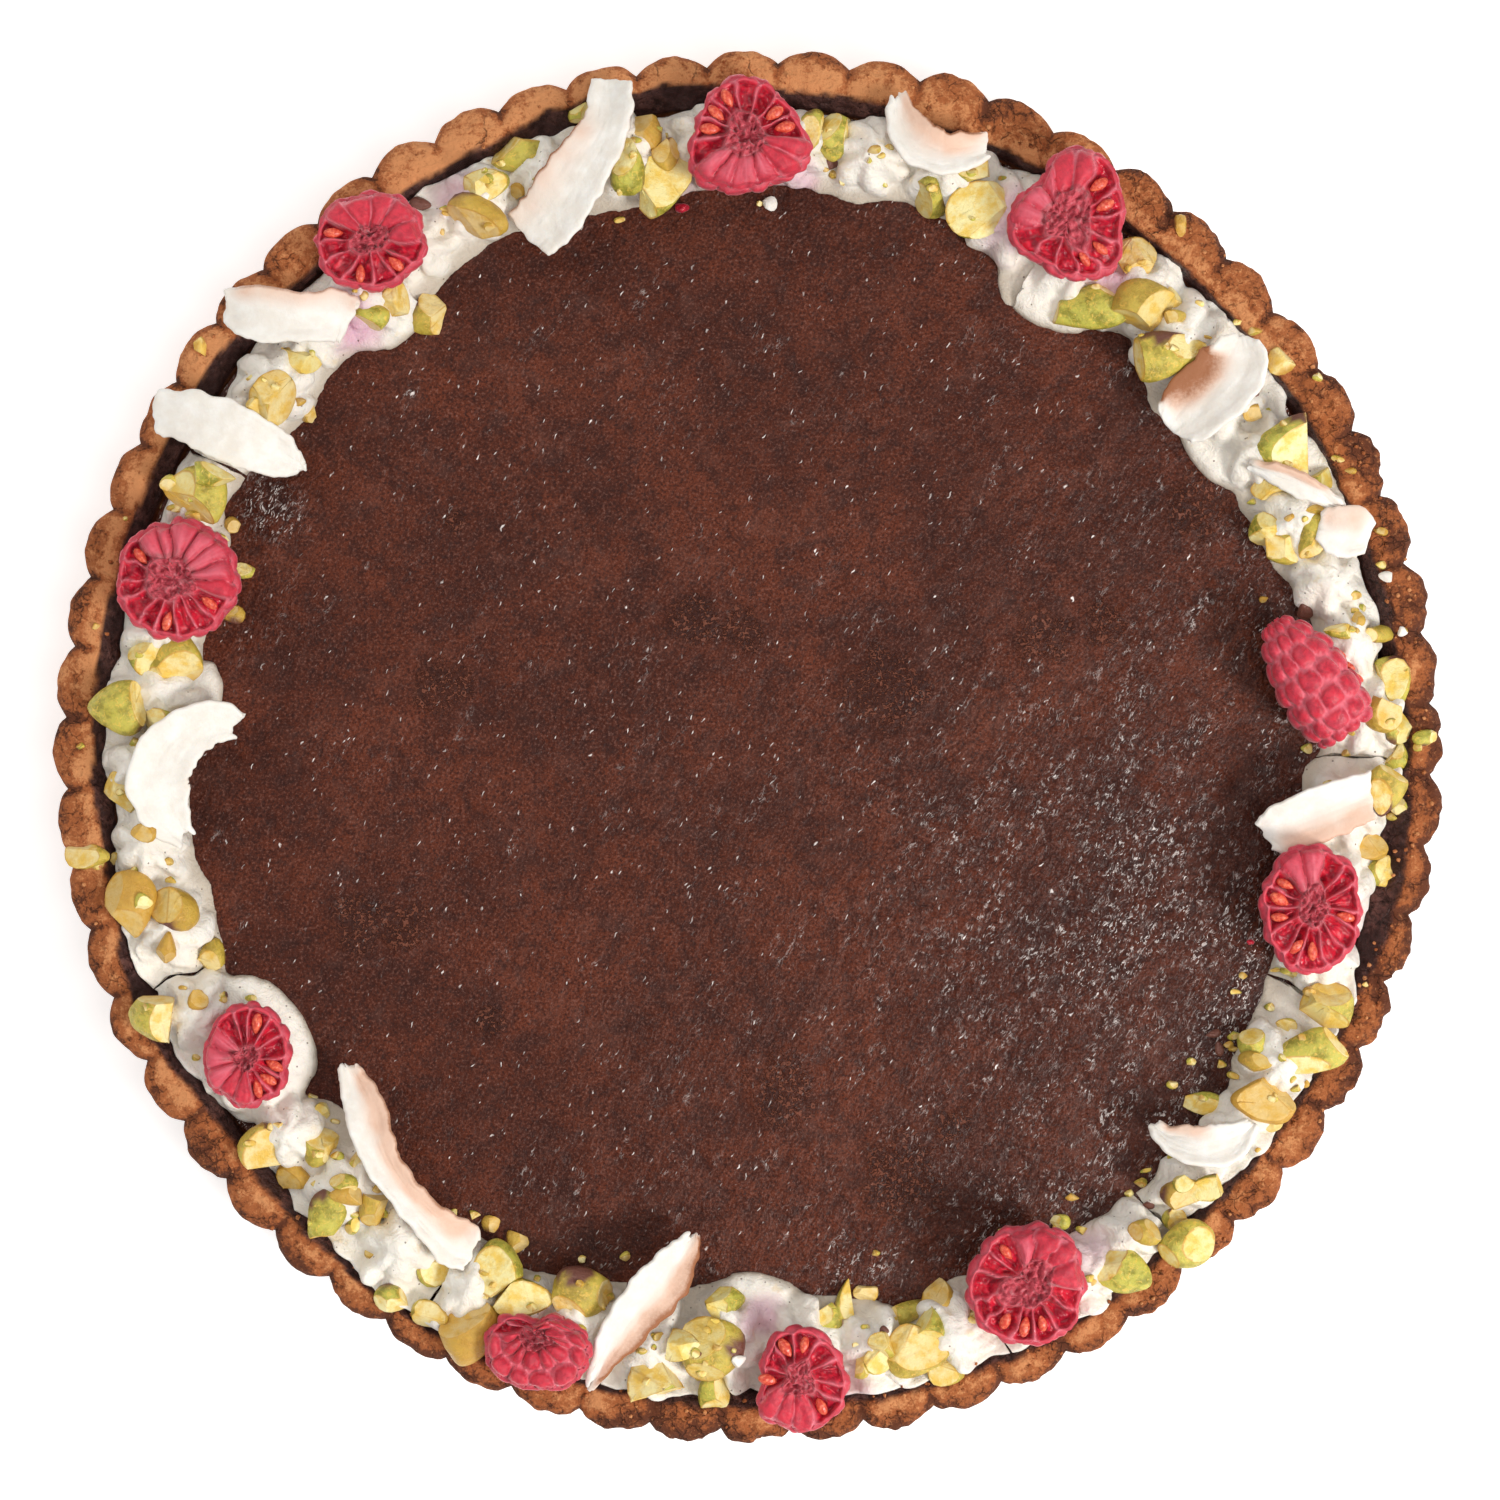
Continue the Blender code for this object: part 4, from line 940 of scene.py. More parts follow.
def opened_cell(real, inward, border, ragged, key):
    """A cut drupelet: how far it rises, and its dust, paleness and wetness. It is a wet pocket between pale
    membranes."""
    pocket = (1 - border ** 5) * ease(0.02, 0.24, inward) * ease(0.98, 0.76, inward)
    flesh = rough(real, 1.25, key + 3) + 0.55 * rough(real, 0.6, key + 4)
    wet = ease(0.03, 0.2, pocket)
    pale = (0.75 + 0.4 * ragged) * ease(0.72, 0.97, border) * ease(1.25, 0.6, inward)
    pale += 0.3 * ease(0.2, 0.0, inward) + 0.25 * ease(0.75, 1.0, inward)
    return (-1.7 + 0.95 * flesh) * pocket, 0.15 * (1 - wet), pale, wet


def lobe_cell(angle, inward, border, ragged, key):
    """A drupelet that lies over the face as a dusty, streaked lobe; it gives what opened_cell gives."""
    up = math.sqrt(max(0.0, 1 - border ** 1.9))
    upward = 1.5 * up * ease(-0.15, 0.2, inward) * ease(1.45, 0.7, inward) - 0.75
    streak = rough(Vector((math.cos(angle) * 6, math.sin(angle) * 6, inward * 0.5)), 0.35, key + 25)
    dust = 0.2 + 0.6 * up * ease(-0.1, 0.5, inward) + 0.2 * ragged + 0.35 * streak
    pale = (0.45 + 0.5 * streak) * up * ease(-0.1, 0.7, inward)
    return upward, dust, pale, 0.75 * ease(0.6, 0.98, border)


def domed_cell(turn, inward, ragged, jitter, double):
    """A drupelet left whole, or two in a row; it gives what opened_cell gives."""
    row = min(1, int(max(0.0, inward) * 2)) if double else 0
    _, around = cell_of(turn + (0.5 if row else 0.0), len(jitter), jitter)
    up, near = dome(around, (inward * 2 - row) * 2 - 1 if double else inward * 1.6 - 0.85)
    upward = 1.9 * up - 0.9 if double else 1.15 * up - 0.45
    # The paleness at the drupelet's border is a painted sheen along its rim.
    return upward, 0.2 + 0.12 * ragged, 0.85 * ease(0.4, 0.95, near), 0.5 * near


def half_berry(name, traits, sizes):
    """Half a raspberry: rows of drupelets outside, and on top the opened cells round the hollow core."""
    (bearing, distance, size_x, size_y, height, notch_bearing, notch_share, bulge_bearing, bulge_share,
     bulge_lobes, hollow_offset, hollow_share, cells) = traits
    draw = seeded(name)
    count = len(cells)
    jitter = [draw.uniform(-0.16, 0.16) for _ in range(count)]
    sizes_of = [draw.uniform(0.93, 1.06) for _ in range(count)]
    lifts = [draw.uniform(-0.5, 0.45) for _ in range(count)]
    offset = Vector((*hollow_offset, 0))
    bm, along, layers = berry_from(BERRY_SECTION, sizes.berry_steps, 5)
    middle = polar(bearing, distance * BERRY_LEAN, BERRY_SEAT)
    scale = Vector((size_x / 2 * BERRY_SHRINK, size_y / 2 * BERRY_SHRINK, height))
    seed_key = draw.uniform(0, 50)
    for vert in bm.verts:
        share = vert[along]
        angle = math.atan2(vert.co.y, vert.co.x) % math.tau
        real = scaled(vert.co, scale)
        turn = angle / math.tau * count + 0.22 * rough(real, 2.2, seed_key)
        index, across = cell_of(turn, count, jitter)
        kind = cells[index]
        aside = (angle - math.radians(notch_bearing) + math.pi) % math.tau - math.pi
        notch = 1 - notch_share * math.exp(-(aside / 0.4) ** 2)
        bulge = 1 + bulge_share * math.cos(bulge_lobes * (angle - math.radians(bulge_bearing)))
        own = (sizes_of[index] - 1) * (1 - abs(across) ** 3) * ease(0.2, 0.4, share) * ease(0.7, 0.5, share)
        outline = notch * bulge * (1 + own)
        dust = 0.35
        pale = core = wet = swell = upward = 0.0
        if share < FACE_START:
            for row, (start, end) in enumerate(zip(ROW_ENDS, ROW_ENDS[1:] + (0.53,))):
                if start <= share < end:
                    _, around = cell_of(turn + (0.0 if row % 2 else 0.5), count, jitter)
                    up, near = dome(around, (share - start) / (end - start) * 2 - 1)
                    swell = up * sizes.drupelet_relief
                    # The paleness at the border of each outer drupelet is a painted sheen along its rim.
                    pale = 0.75 * near
        else:
            inward = (share - FACE_START) / (HOLLOW_START - FACE_START)
            border = abs(across)
            ragged = rough(real, 1.5, seed_key + 9)
            if share < HOLLOW_START:
                if kind in "ow":
                    upward, dust, pale, wet = opened_cell(real, inward, border, ragged, seed_key)
                elif kind == "l":
                    upward, dust, pale, wet = lobe_cell(angle, inward, border, ragged, seed_key)
                else:
                    upward, dust, pale, wet = domed_cell(turn, inward, ragged, jitter, kind == "d")
                upward += (lifts[index] + 0.2 * ragged) * ease(0.0, 0.3, inward) * (1 - border ** 3)
                core = ease(0.84, 1.04, inward + 0.3 * ragged + (0.1 if kind == "l" else 0.0))
            else:
                core = 1.0
                pale = 0.5 * ease(0.2, 0.5, rough(real, 0.9, seed_key + 15))
                wet = 0.6 * ease(-0.1, -0.5, rough(real, 1.2, seed_key + 5))
                upward = rough(real, 1.2, seed_key + 5) + 0.6 * rough(real, 0.6, seed_key + 7) + 0.25
                upward += 0.6 * ease(0.3, 0.1, abs(rough(real, 2.4, seed_key + 19)))
        hollow = ease(0.5, HOLLOW_START, share)
        uneven = 1 + 0.5 * rough(Vector((math.cos(angle), math.sin(angle), 0)), 0.9, seed_key + 23)
        stretch = 1 + (hollow_share * 0.74 / 0.4 * uneven - 1) * hollow
        shift = scaled(offset, scale) * ease(0.45, HOLLOW_START, share)
        place = Vector((real.x * outline * stretch, real.y * outline * stretch, real.z)) + shift
        normal = vert.normal
        outward = Vector((normal.x / scale.x, normal.y / scale.y, normal.z / scale.z)).normalized()
        lump = 0.35 * rough(real, 4.5, seed_key + 11) + 0.2 * rough(real, 1.1, seed_key + 13)
        place += outward * (swell - 0.45 * (share < FACE_START) + lump)
        place.z += upward
        painted(vert, layers, dust, pale, core, wet)
        vert.co = place + middle
    for index, kind in enumerate(cells):
        if kind != "o" and not (kind == "w" and draw.random() < 0.3):
            continue
        angle = (index + 0.5 + (jitter[index] + jitter[(index + 1) % count]) / 2) / count * math.tau
        out = 0.7 * (1 + bulge_share * math.cos(bulge_lobes * (angle - math.radians(bulge_bearing))))
        away = Vector((math.cos(angle) * scale.x, math.sin(angle) * scale.y, 0)) * out
        level = height * 0.985 - (0.75 if kind == "o" else 1.05) + lifts[index] * 0.6
        add_seed(bm, middle + away + offset * 4 + Vector((0, 0, level)), angle, draw.uniform(3.0, 3.7),
                 draw.uniform(-0.15, 0.35), draw)
    return bm


# The whole raspberry on its side: bearing, distance, length, width, bearing of its tip, and seat
WHOLE_BERRY = (7.2, 96.7, 22.6, 14.0, 126.0, 23.7)
WHOLE_BERRY_SECTION = (
    (0, 0.2), (0.3, 0.13), (0.52, 0.02), (0.72, 0), (0.9, 0.08), (1, 0.24), (0.98, 0.42), (0.88, 0.6),
    (0.7, 0.77), (0.45, 0.91), (0.2, 0.985), (0, 1),
)
WHOLE_BERRY_ROWS = 8
WHOLE_BERRY_CELLS = 11
WHOLE_BERRY_BASE = 0.25

# The lobes at its base, as places across, along and up and a radius, and the seeds in its torn flank, as a
# height and a bearing
WHOLE_BERRY_LOBES = ((6.6, 1.0, 0.8, 2.9), (5.4, -2.6, 2.0, 2.4), (6.2, 3.8, 2.4, 2.3))
WHOLE_BERRY_SEEDS = ((6.5, 262), (9.0, 258), (11.5, 266))


def whole_berry(sizes):
    """The raspberry on its side, with staggered rows of drupelets, an open flank and a lobe at its base."""
    bearing, distance, length, width, tip_bearing, seat = WHOLE_BERRY
    draw = seeded("raspberry_10")
    jitter = [draw.uniform(-0.14, 0.14) for _ in range(WHOLE_BERRY_CELLS)]
    bm, along, layers = berry_from(WHOLE_BERRY_SECTION, sizes.berry_steps, 7)
    for vert in bm.verts:
        share = vert[along]
        angle = math.atan2(vert.co.y, vert.co.x) % math.tau
        real = scaled(vert.co, Vector((width / 2, width / 2, length)))
        turn = angle / math.tau * WHOLE_BERRY_CELLS + 0.14 * rough(real, 2.4, 3.0)
        swell = pale = wet = core = 0.0
        dust = 0.42
        if share > WHOLE_BERRY_BASE:
            level = (share - WHOLE_BERRY_BASE) / (1 - WHOLE_BERRY_BASE) * WHOLE_BERRY_ROWS
            level += 0.12 * rough(real, 2.6, 5.0)
            row = int(level)
            _, across = cell_of(turn + (0.5 if row % 2 else 0.0), WHOLE_BERRY_CELLS, jitter)
            up, near = dome(across, (level - row) * 2 - 1)
            tight = ease(1.0, 0.9, share)
            swell = up * sizes.drupelet_relief * tight
            # The paleness at each drupelet's border is a painted sheen along its rim.
            pale = 0.85 * ease(0.4, 0.95, near)
            wet = 0.35 * ease(0.3, 0.0, near)
            dust = 0.16 + 0.25 * ease(-0.1, 0.3, rough(real, 1.6, 21.0))
        else:
            core = ease(0.22, 0.1, share)
            wet = 0.6
            dust = 0.1
        aside = (angle - math.radians(262) + math.pi) % math.tau - math.pi
        torn = math.exp(-(aside / 0.42) ** 2) * ease(0.2, 0.34, share) * ease(0.66, 0.5, share)
        swell -= 1.6 * torn - 0.5 * torn * rough(real, 1.4, 8.0)
        wet = max(wet, ease(0.25, 0.7, torn))
        dust *= 1 - ease(0.2, 0.6, torn)
        pale *= 1 - 0.6 * torn
        normal = vert.normal
        outward = Vector((normal.x / width, normal.y / width, normal.z / length / 2)).normalized()
        lump = 0.25 * rough(real, 4.5, 11.0) + 0.08 * rough(real, 1.1, 13.0)
        painted(vert, layers, dust, pale, core, wet)
        vert.co = real + outward * (swell - 0.5 + lump)
    for across, aside, up, radius in WHOLE_BERRY_LOBES:
        ball = ellipsoid(28, 18)
        shades = numbers_on(ball, *BERRY_LAYERS)
        for vert in ball.verts:
            painted(vert, shades, 0.4, 0.3 * ease(0.5, 0.0, abs(vert.co.x)), 0.0, 0.2)
        shape = Matrix.Diagonal((radius, radius * 0.86, radius, 1))
        poured_into(bm, moved(ball, Matrix.Translation((across * 0.86, aside, up + 0.8)) @ shape))
    for level, angle in WHOLE_BERRY_SEEDS:
        add_seed(bm, polar(angle, width / 2 - 1.0, level), math.radians(angle), 2.8, 1.2, draw)
    middle = Matrix.Translation(polar(bearing, distance, seat + width / 2))
    return moved(bm, middle @ turned(tip_bearing) @ Matrix.Translation((-length / 2, 0, 0))
                 @ Matrix.Rotation(math.radians(90), 4, "Y"))


def build_half_raspberries(sizes, colours):
    """Nine half raspberries with the cut face up."""
    finishes = [raspberry_finish(colours), seed_finish(colours)]
    for index, traits in enumerate(HALF_BERRIES):
        name = f"raspberry_{index + 1}"
        finished(name + "_ripe", half_berry(name, traits, sizes), finishes, [name])


def build_whole_raspberry(sizes, colours):
    """The whole raspberry on its side."""
    finishes = [bpy.data.materials["raspberry flesh"], bpy.data.materials["raspberry seed"]]
    finished("raspberry_10_ripe", whole_berry(sizes), finishes, ["raspberry_10"])


# Coconut chips: roll, sag across the width, toast as first and last share along, side, width, strength and
# brown edge, and stations of x, y, height and width
CHIPS = (
    (12, 0.8, (0.15, 1, -1, 0.8, 0.42, 0.8), (
        (-23.8, 114.8, 27.2, 7.2), (-24.4, 106.3, 30.6, 8.4), (-28.6, 98.8, 31.6, 10.8),
        (-33.6, 91.8, 29.8, 11.8), (-38.2, 87.2, 27.4, 10.6))),
    (-8, 1, (0, 0.95, 1, 1, 0.8, 0.9), (
        (25.4, 112, 27.8, 2), (26.4, 106.8, 30.2, 6.6), (28.8, 103, 31.4, 8.2), (32.6, 101.2, 31.6, 7.8),
        (36.6, 101.6, 31, 6.6), (41, 102.8, 29.6, 4.8))),
    (10, 1, (0.05, 1, 1, 0.6, 0.5, 0.5), (
        (-90.2, 75.6, 27.8, 5.4), (-85, 74.2, 30.2, 9.4), (-77, 73.2, 31, 8.6), (-71, 73.6, 29.8, 9.2),
        (-68.2, 72.8, 29, 7.6))),
    (4, 0.7, (0, 1, 1, 0.2, 0.04, 0), (
        (-102.4, 57.9, 27.6, 7), (-94.6, 55.8, 30.2, 9.6), (-86.8, 52.6, 31, 10.2), (-80.4, 49.6, 29.4, 7.4),
        (-76.4, 47.4, 28, 1.4))),
    (-10, 1.2, (0.15, 0.85, 1, 0.5, 0.16, 0.08), (
        (-87.2, 3.4, 28.6, 4.4), (-92.2, 4, 30.4, 7.8), (-98.2, 0.2, 31.2, 10), (-101, -5.6, 31.2, 10.8),
        (-99.6, -11.6, 30.4, 8.6), (-96.6, -16.4, 28.4, 3.6))),
    (-14, 1.3, (0, 0.9, 1, 0.85, 1, 0.6), (
        (-69.4, -54.6, 26.6, 2.6), (-67.4, -58.6, 27.8, 5.6), (-65.4, -63.6, 29.6, 7.4),
        (-63.4, -69.4, 30.8, 6.6), (-59.6, -75.6, 31, 5.6), (-54.8, -81.2, 29.8, 6.4),
        (-50.2, -85.4, 27.8, 8.6), (-47.6, -87.6, 26.8, 6))),
    (16, 1, (0.05, 0.95, -1, 0.7, 1.1, 0.95), (
        (-27.6, -110.4, 28, 1), (-24.4, -104.4, 29.6, 5.2), (-20.4, -98.4, 30.6, 8.6),
        (-15.6, -92.6, 30.2, 9.4), (-11.6, -87.4, 28.2, 6.4), (-9.4, -83.8, 27, 1.8))),
    (-12, 1.6, (0.12, 0.8, 1, 0.75, 1.1, 1.6), (
        (72.4, 54.2, 28.6, 8), (75.8, 57.6, 29.8, 12), (80.2, 61.8, 31.2, 12.8), (83, 65.8, 31.8, 12),
        (83.6, 70.2, 31.4, 5.4))),
    (24, 0.5, (0.05, 0.8, 1, 0.6, 0.8, 0.4), (
        (85.6, 48.2, 28.2, 1.4), (90.6, 46.2, 30.2, 4), (96, 43.6, 30.8, 4.2), (101.6, 40.6, 29.6, 1.8))),
    (6, 0.7, (0, 0.8, 1, 1, 0.5, 0.1), (
        (97.2, 37.4, 29.4, 4.6), (99.8, 37, 30.2, 8.2), (103.4, 36.2, 30.2, 9.2), (106.2, 35.2, 29.6, 5.4))),
    (10, 1.6, (0.1, 1, -1, 0.8, 0.7, 0.4), (
        (88.2, -15.6, 27.6, 5.4), (91.2, -14.2, 29.4, 9), (97, -11.8, 31, 9.6), (103, -9.4, 31.2, 9.2),
        (106.8, -8.2, 30, 8))),
    (-16, 0.9, (0, 0.6, 1, 0.6, 0.6, 0.4), (
        (69.2, -64.8, 27.4, 2), (72, -67.2, 29.2, 4.6), (77, -68.4, 30.6, 7.2), (82, -67.6, 30.4, 6.8),
        (86.6, -64.4, 29.2, 1.6))),
)
CHIP_ROWS = 16
CHIP_GRAIN = 0.55


def coconut_finish(colours):
    """Dried coconut: matt ivory with faint fibres, toasted from one edge."""
    made = Finish("toasted coconut", Specular_IOR_Level=0.3, Subsurface_Weight=0.15, Subsurface_Scale=0.0012,
                  Subsurface_Radius=(1.0, 0.8, 0.6))
    cloud = made.grain(3.2, detail=4.0, roughness=0.6)
    fine = made.grain(0.5, roughness=0.65)
    light = made.mix(made.span(cloud, 0.2, 0.8), colours.toast_light, colours.toast)
    spread = made.times(made.attribute("toast"), made.span(cloud, 0.62, 1.35))
    brown = made.times(made.attribute("brown"), made.span(fine, 0.6, 1.3))
    tone = made.coated(
        colours.coconut_shade,
        (made.ramp(cloud, 0.3, 0.75), colours.coconut),
        (made.ramp(spread, 0.05, 0.95), light),
        (made.ramp(brown, 0.2, 1.0), colours.toast_brown),
    )
    relief = made.weighed((made.attribute("fibre"), 0.5), (fine, 0.5))
    return made.done(tone, made.span(fine, 0.45, 0.7), made.bump(relief, 0.22, 0.8))


def build_chips(sizes, colours):
    """Twelve bent coconut chips with ragged, thin edges and toast along one side."""
    finish = coconut_finish(colours)
    for index, (roll, sag, toasting, stations) in enumerate(CHIPS):
        name = f"coconut_{index + 1}"
        draw = seeded(name)
        key = draw.uniform(0, 60)
        curve = smooth_through(stations, 12)
        length = sum((Vector(b[:3]) - Vector(a[:3])).length for a, b in zip(curve, curve[1:]))
        bm = bmesh.new()
        columns = max(24, int(length / CHIP_GRAIN))
        bmesh.ops.create_grid(bm, x_segments=columns, y_segments=CHIP_ROWS, size=1.0)
        toast, brown, fibre = numbers_on(bm, "toast", "brown", "fibre")
        deform = bm.verts.layers.deform.new()
        first, last, side, reach, strength, edge_brown = toasting
        for vert in bm.verts:
            share = (vert.co.x + 1) / 2
            across = vert.co.y
            end = 0.035 * math.sin(across * 2.4 + key) + 0.045 * rippled(across * 2.3, key, 0)
            slid = min(1.0, max(0.0, share + end * (abs(share - 0.5) * 2) ** 3 * (1 if share > 0.5 else -1)))
            exact = slid * (len(curve) - 1)
            index = min(len(curve) - 2, int(exact))
            station = curve[index].lerp(curve[index + 1], exact - index)
            before = curve[max(0, index - 4)]
            after = curve[min(len(curve) - 1, index + 5)]
            heading = (Vector(after[:3]) - Vector(before[:3])).normalized()
            left = Matrix.Rotation(math.radians(roll), 3, heading) @ UP.cross(heading).normalized()
            upward = heading.cross(left).normalized()
            half = max(0.35, station[3] / 2)
            along_mm = share * length
            ragged = (0.3 * rippled(along_mm / 1.9, across * 0.6 + 7 * (across > 0), key)
                      + 0.14 * rippled(along_mm / 0.7, across * 2.0, key + 5))
            spread = half * across + ragged * abs(across) ** 4 * (1 if across > 0 else -1) * 2.2
            warp = (0.45 * rippled(along_mm / 6.0, across * 0.9, key + 9)
                    + 0.12 * rippled(along_mm / 1.6, across * 3, key + 12))
            dip = sag * (1 - across * across)
            vert.co = Vector(station[:3]) + left * spread + upward * (warp - dip + sag * 0.35)
            border = min(1 - abs(across), share * length / half * 0.8, (1 - share) * length / half * 0.8)
            vert[deform][0] = min(1.0, 0.42 + border * 3.2)
            inward = (1 - side * across) / 2
            window = ease(first - 0.12, first + 0.2, share) * ease(last + 0.15, last - 0.15, share)
            blotch = 1 + 0.35 * rippled(along_mm / 3.5, across * 1.6, key + 20)
            vert[toast] = max(0.0, 1.4 * strength * window * ease(reach, 0.0, inward) * blotch)
            rim = ease(0.09, 0.0, inward) + 0.55 * ease(reach, 0.0, inward) * (edge_brown > 0.9)
            vert[brown] = max(0.0, 1.2 * edge_brown * window * rim * blotch)
            vert[fibre] = rippled(along_mm / 5.0, across * half / 0.45, key + 30)
        bmesh.ops.recalc_face_normals(bm, faces=bm.faces)
        piece = finished(name + "_chip", bm, [finish], [name])
        piece.vertex_groups.new(name="thick")
        solid = piece.modifiers.new("thickness", "SOLIDIFY")
        solid.thickness = sizes.chip_thickness
        solid.offset = 0.0
        solid.vertex_group = "thick"
        solid.thickness_vertex_group = 0.25
        smooth = piece.modifiers.new("soft edge", "SUBSURF")
        smooth.levels = 1
        smooth.render_levels = 1


# The largest pistachio pieces: bearing, distance, size along and across, turn, and kind: k is a kernel with
# its skin on, c a chopped piece and b a flake of brown skin, and an a after it means amber
PISTACHIOS = (
    (52.3, 95.5, 15, 7.2, 10, "k"), (331.3, 109.6, 13.2, 7, 15, "k"), (43.2, 98.1, 13, 7.4, 12, "k"),
    (253.2, 98.3, 10.3, 8.6, 0, "k"), (66.4, 100.9, 10.2, 6.8, 20, "c"), (311.1, 113.8, 9.8, 7.4, 20, "k"),
    (176.5, 108.4, 9.8, 8.6, 0, "k"), (28.8, 106.1, 9.4, 8, 0, "c"), (98.8, 99.1, 11.4, 6.8, 65, "c"),
    (155.7, 104.3, 8.6, 7.2, 0, "c"), (305.1, 109.7, 8.9, 6, -20, "c"), (262.1, 110.2, 8.9, 6.8, 0, "c"),
    (47.7, 101.3, 8.6, 7.4, 0, "c"), (266.2, 104.2, 8.8, 7.8, 75, "c"), (244.3, 111.5, 8.8, 7.4, 80, "ca"),
    (194.5, 110, 8.8, 6.2, 90, "ca"), (228, 108.7, 9.6, 6, 70, "k"), (325.4, 107.3, 8.1, 5.7, 0, "ca"),
    (285.6, 107.9, 8.1, 6.2, 0, "c"), (171.7, 99.4, 7.8, 6.4, 80, "c"), (356, 109.5, 8.6, 6, 80, "k"),
    (335.5, 108.2, 7.4, 6.8, 0, "c"), (204.4, 111.6, 7.4, 6.8, 0, "c"),
)

# Smaller pieces that lie on the cream: bearing, distance, size along X and along Y
SMALL_NUTS = (
    (3.2, 109, 4.8, 5.7), (20.4, 103.4, 4, 7.6), (20.5, 97.9, 7.2, 4), (51.6, 107.1, 5.1, 6),
    (69, 105.9, 6.9, 3.6), (72, 99.8, 5.1, 6.6), (82.1, 106, 6, 6.2), (101.9, 101.5, 4.1, 7.6),
    (99.8, 107.6, 4.8, 5.7), (111.2, 111, 6.5, 6.6), (115.3, 106.4, 6.5, 4.3), (117.3, 101.9, 8.2, 5.5),
    (131.4, 98.2, 4.8, 4), (139.3, 101.8, 6.3, 3.8), (143.8, 100.8, 6.5, 7), (153.2, 102.3, 6.5, 3),
    (171.7, 105.1, 4.3, 5.1), (184.3, 108.5, 4.6, 6.8), (195.6, 103.1, 7.6, 5.1), (201.8, 100.4, 3.6, 6),
    (219.7, 109, 6.6, 7.6), (222.9, 101, 4.6, 5.6), (230.9, 101.9, 4.4, 6), (237.3, 113.3, 5.1, 3.4),
    (244.2, 99.7, 6.4, 8), (247.6, 102.6, 7.6, 5), (263.4, 103, 5.4, 4.6), (279.9, 98.1, 3, 6.8),
    (277.5, 99.6, 5, 3.6), (285.2, 101.9, 10, 2.8), (288.9, 100.8, 4.3, 5.5), (314.1, 107.4, 6.4, 4.4),
    (321.7, 100, 5.6, 2.8), (329.2, 101, 3.6, 4.6), (350.7, 108.6, 4.6, 3.2),
)

# Slivers and bits between them, as the last table
NUT_BITS = (
    (24.9, 109.1, 3.9, 4.3), (22.5, 96.5, 5.4, 4.6), (22.7, 105, 2.6, 1.2), (26.4, 99.6, 4.6, 3.2),
    (11, 103.4, 5.1, 2.2), (11.8, 106.6, 2, 2.6), (10.1, 109.1, 8, 2.1), (5.6, 111.5, 5, 6.8),
    (1.6, 112.3, 5.2, 4.4), (0.7, 117, 4.2, 2), (359.2, 111.9, 2.9, 4), (46.5, 106.3, 1.8, 3.4),
    (84.4, 106, 3.4, 6.8), (104.9, 113.3, 2.9, 3.6), (98, 102.6, 3.6, 4.4), (128.4, 97.8, 4.2, 5.4),
    (126.5, 93.3, 5.2, 5.6), (145.5, 102.6, 2.6, 2.4), (143, 95.6, 2.9, 2.5), (155.7, 109, 2.4, 2),
    (157.6, 102.9, 2.9, 2), (156.9, 97.4, 2.5, 2), (158.8, 98.9, 3.8, 1.8), (160.9, 92.8, 3.4, 2),
    (177.7, 101.2, 6.2, 3.6), (188.1, 104.6, 3.6, 2.6), (189.4, 115.8, 6.2, 3.4), (190.2, 111.8, 2, 2),
    (194.5, 107, 2.4, 2.2), (199.2, 105.8, 2.4, 4.6), (204.6, 104, 2.5, 3.2), (223.5, 108.7, 4.6, 4.2),
    (220.5, 97.2, 2.4, 2.4), (226.5, 97.8, 2.6, 3.6), (227.1, 102.2, 4, 2.6), (228.4, 102.9, 5.2, 2.4),
    (230.4, 107.2, 1.8, 2.8), (233.2, 109.6, 1.4, 1.4), (240.7, 112.3, 5.2, 3.6), (239.3, 104.8, 6, 4.4),
    (244.9, 95, 2.8, 3.4), (267.4, 95.4, 5.2, 5), (266.9, 112.2, 4.3, 6.2), (282, 97, 3.2, 2.6),
    (282.8, 105.3, 5.6, 3.2), (281.9, 107.8, 3.8, 3.4), (280.2, 107.9, 2.5, 3.6), (287.6, 113, 5.2, 3.6),
    (287.2, 104.4, 4, 5.6), (309.1, 107.2, 4.8, 3.2), (311.9, 109.8, 3.4, 3.4), (316, 108.9, 5.4, 3.4),
    (314.8, 105.2, 2.8, 2.6), (328, 102.4, 4.6, 2.6), (348.6, 111.5, 4.6, 4.2), (337.2, 101.2, 3.4, 2),
    (354.8, 112.4, 2.4, 2.6), (62, 107.6, 2.2, 4.6), (45.2, 103.4, 3.2, 2.2), (38.6, 103.4, 2.8, 2.2),
    (33.4, 104.2, 3.4, 2.2), (112.8, 104, 3.2, 2.4), (106.6, 108, 2.6, 3.2), (137, 104.2, 2.4, 2),
    (165.6, 93.4, 4.4, 2.2), (253.6, 104.8, 2.8, 2.2), (259.8, 98.6, 2.4, 2), (276, 104.8, 2.6, 2.2),
    (291.6, 105.4, 2.8, 2.2), (303, 98.4, 3.2, 1.8), (324.2, 111.6, 2.6, 2), (332.4, 104.4, 2.8, 2.2),
)

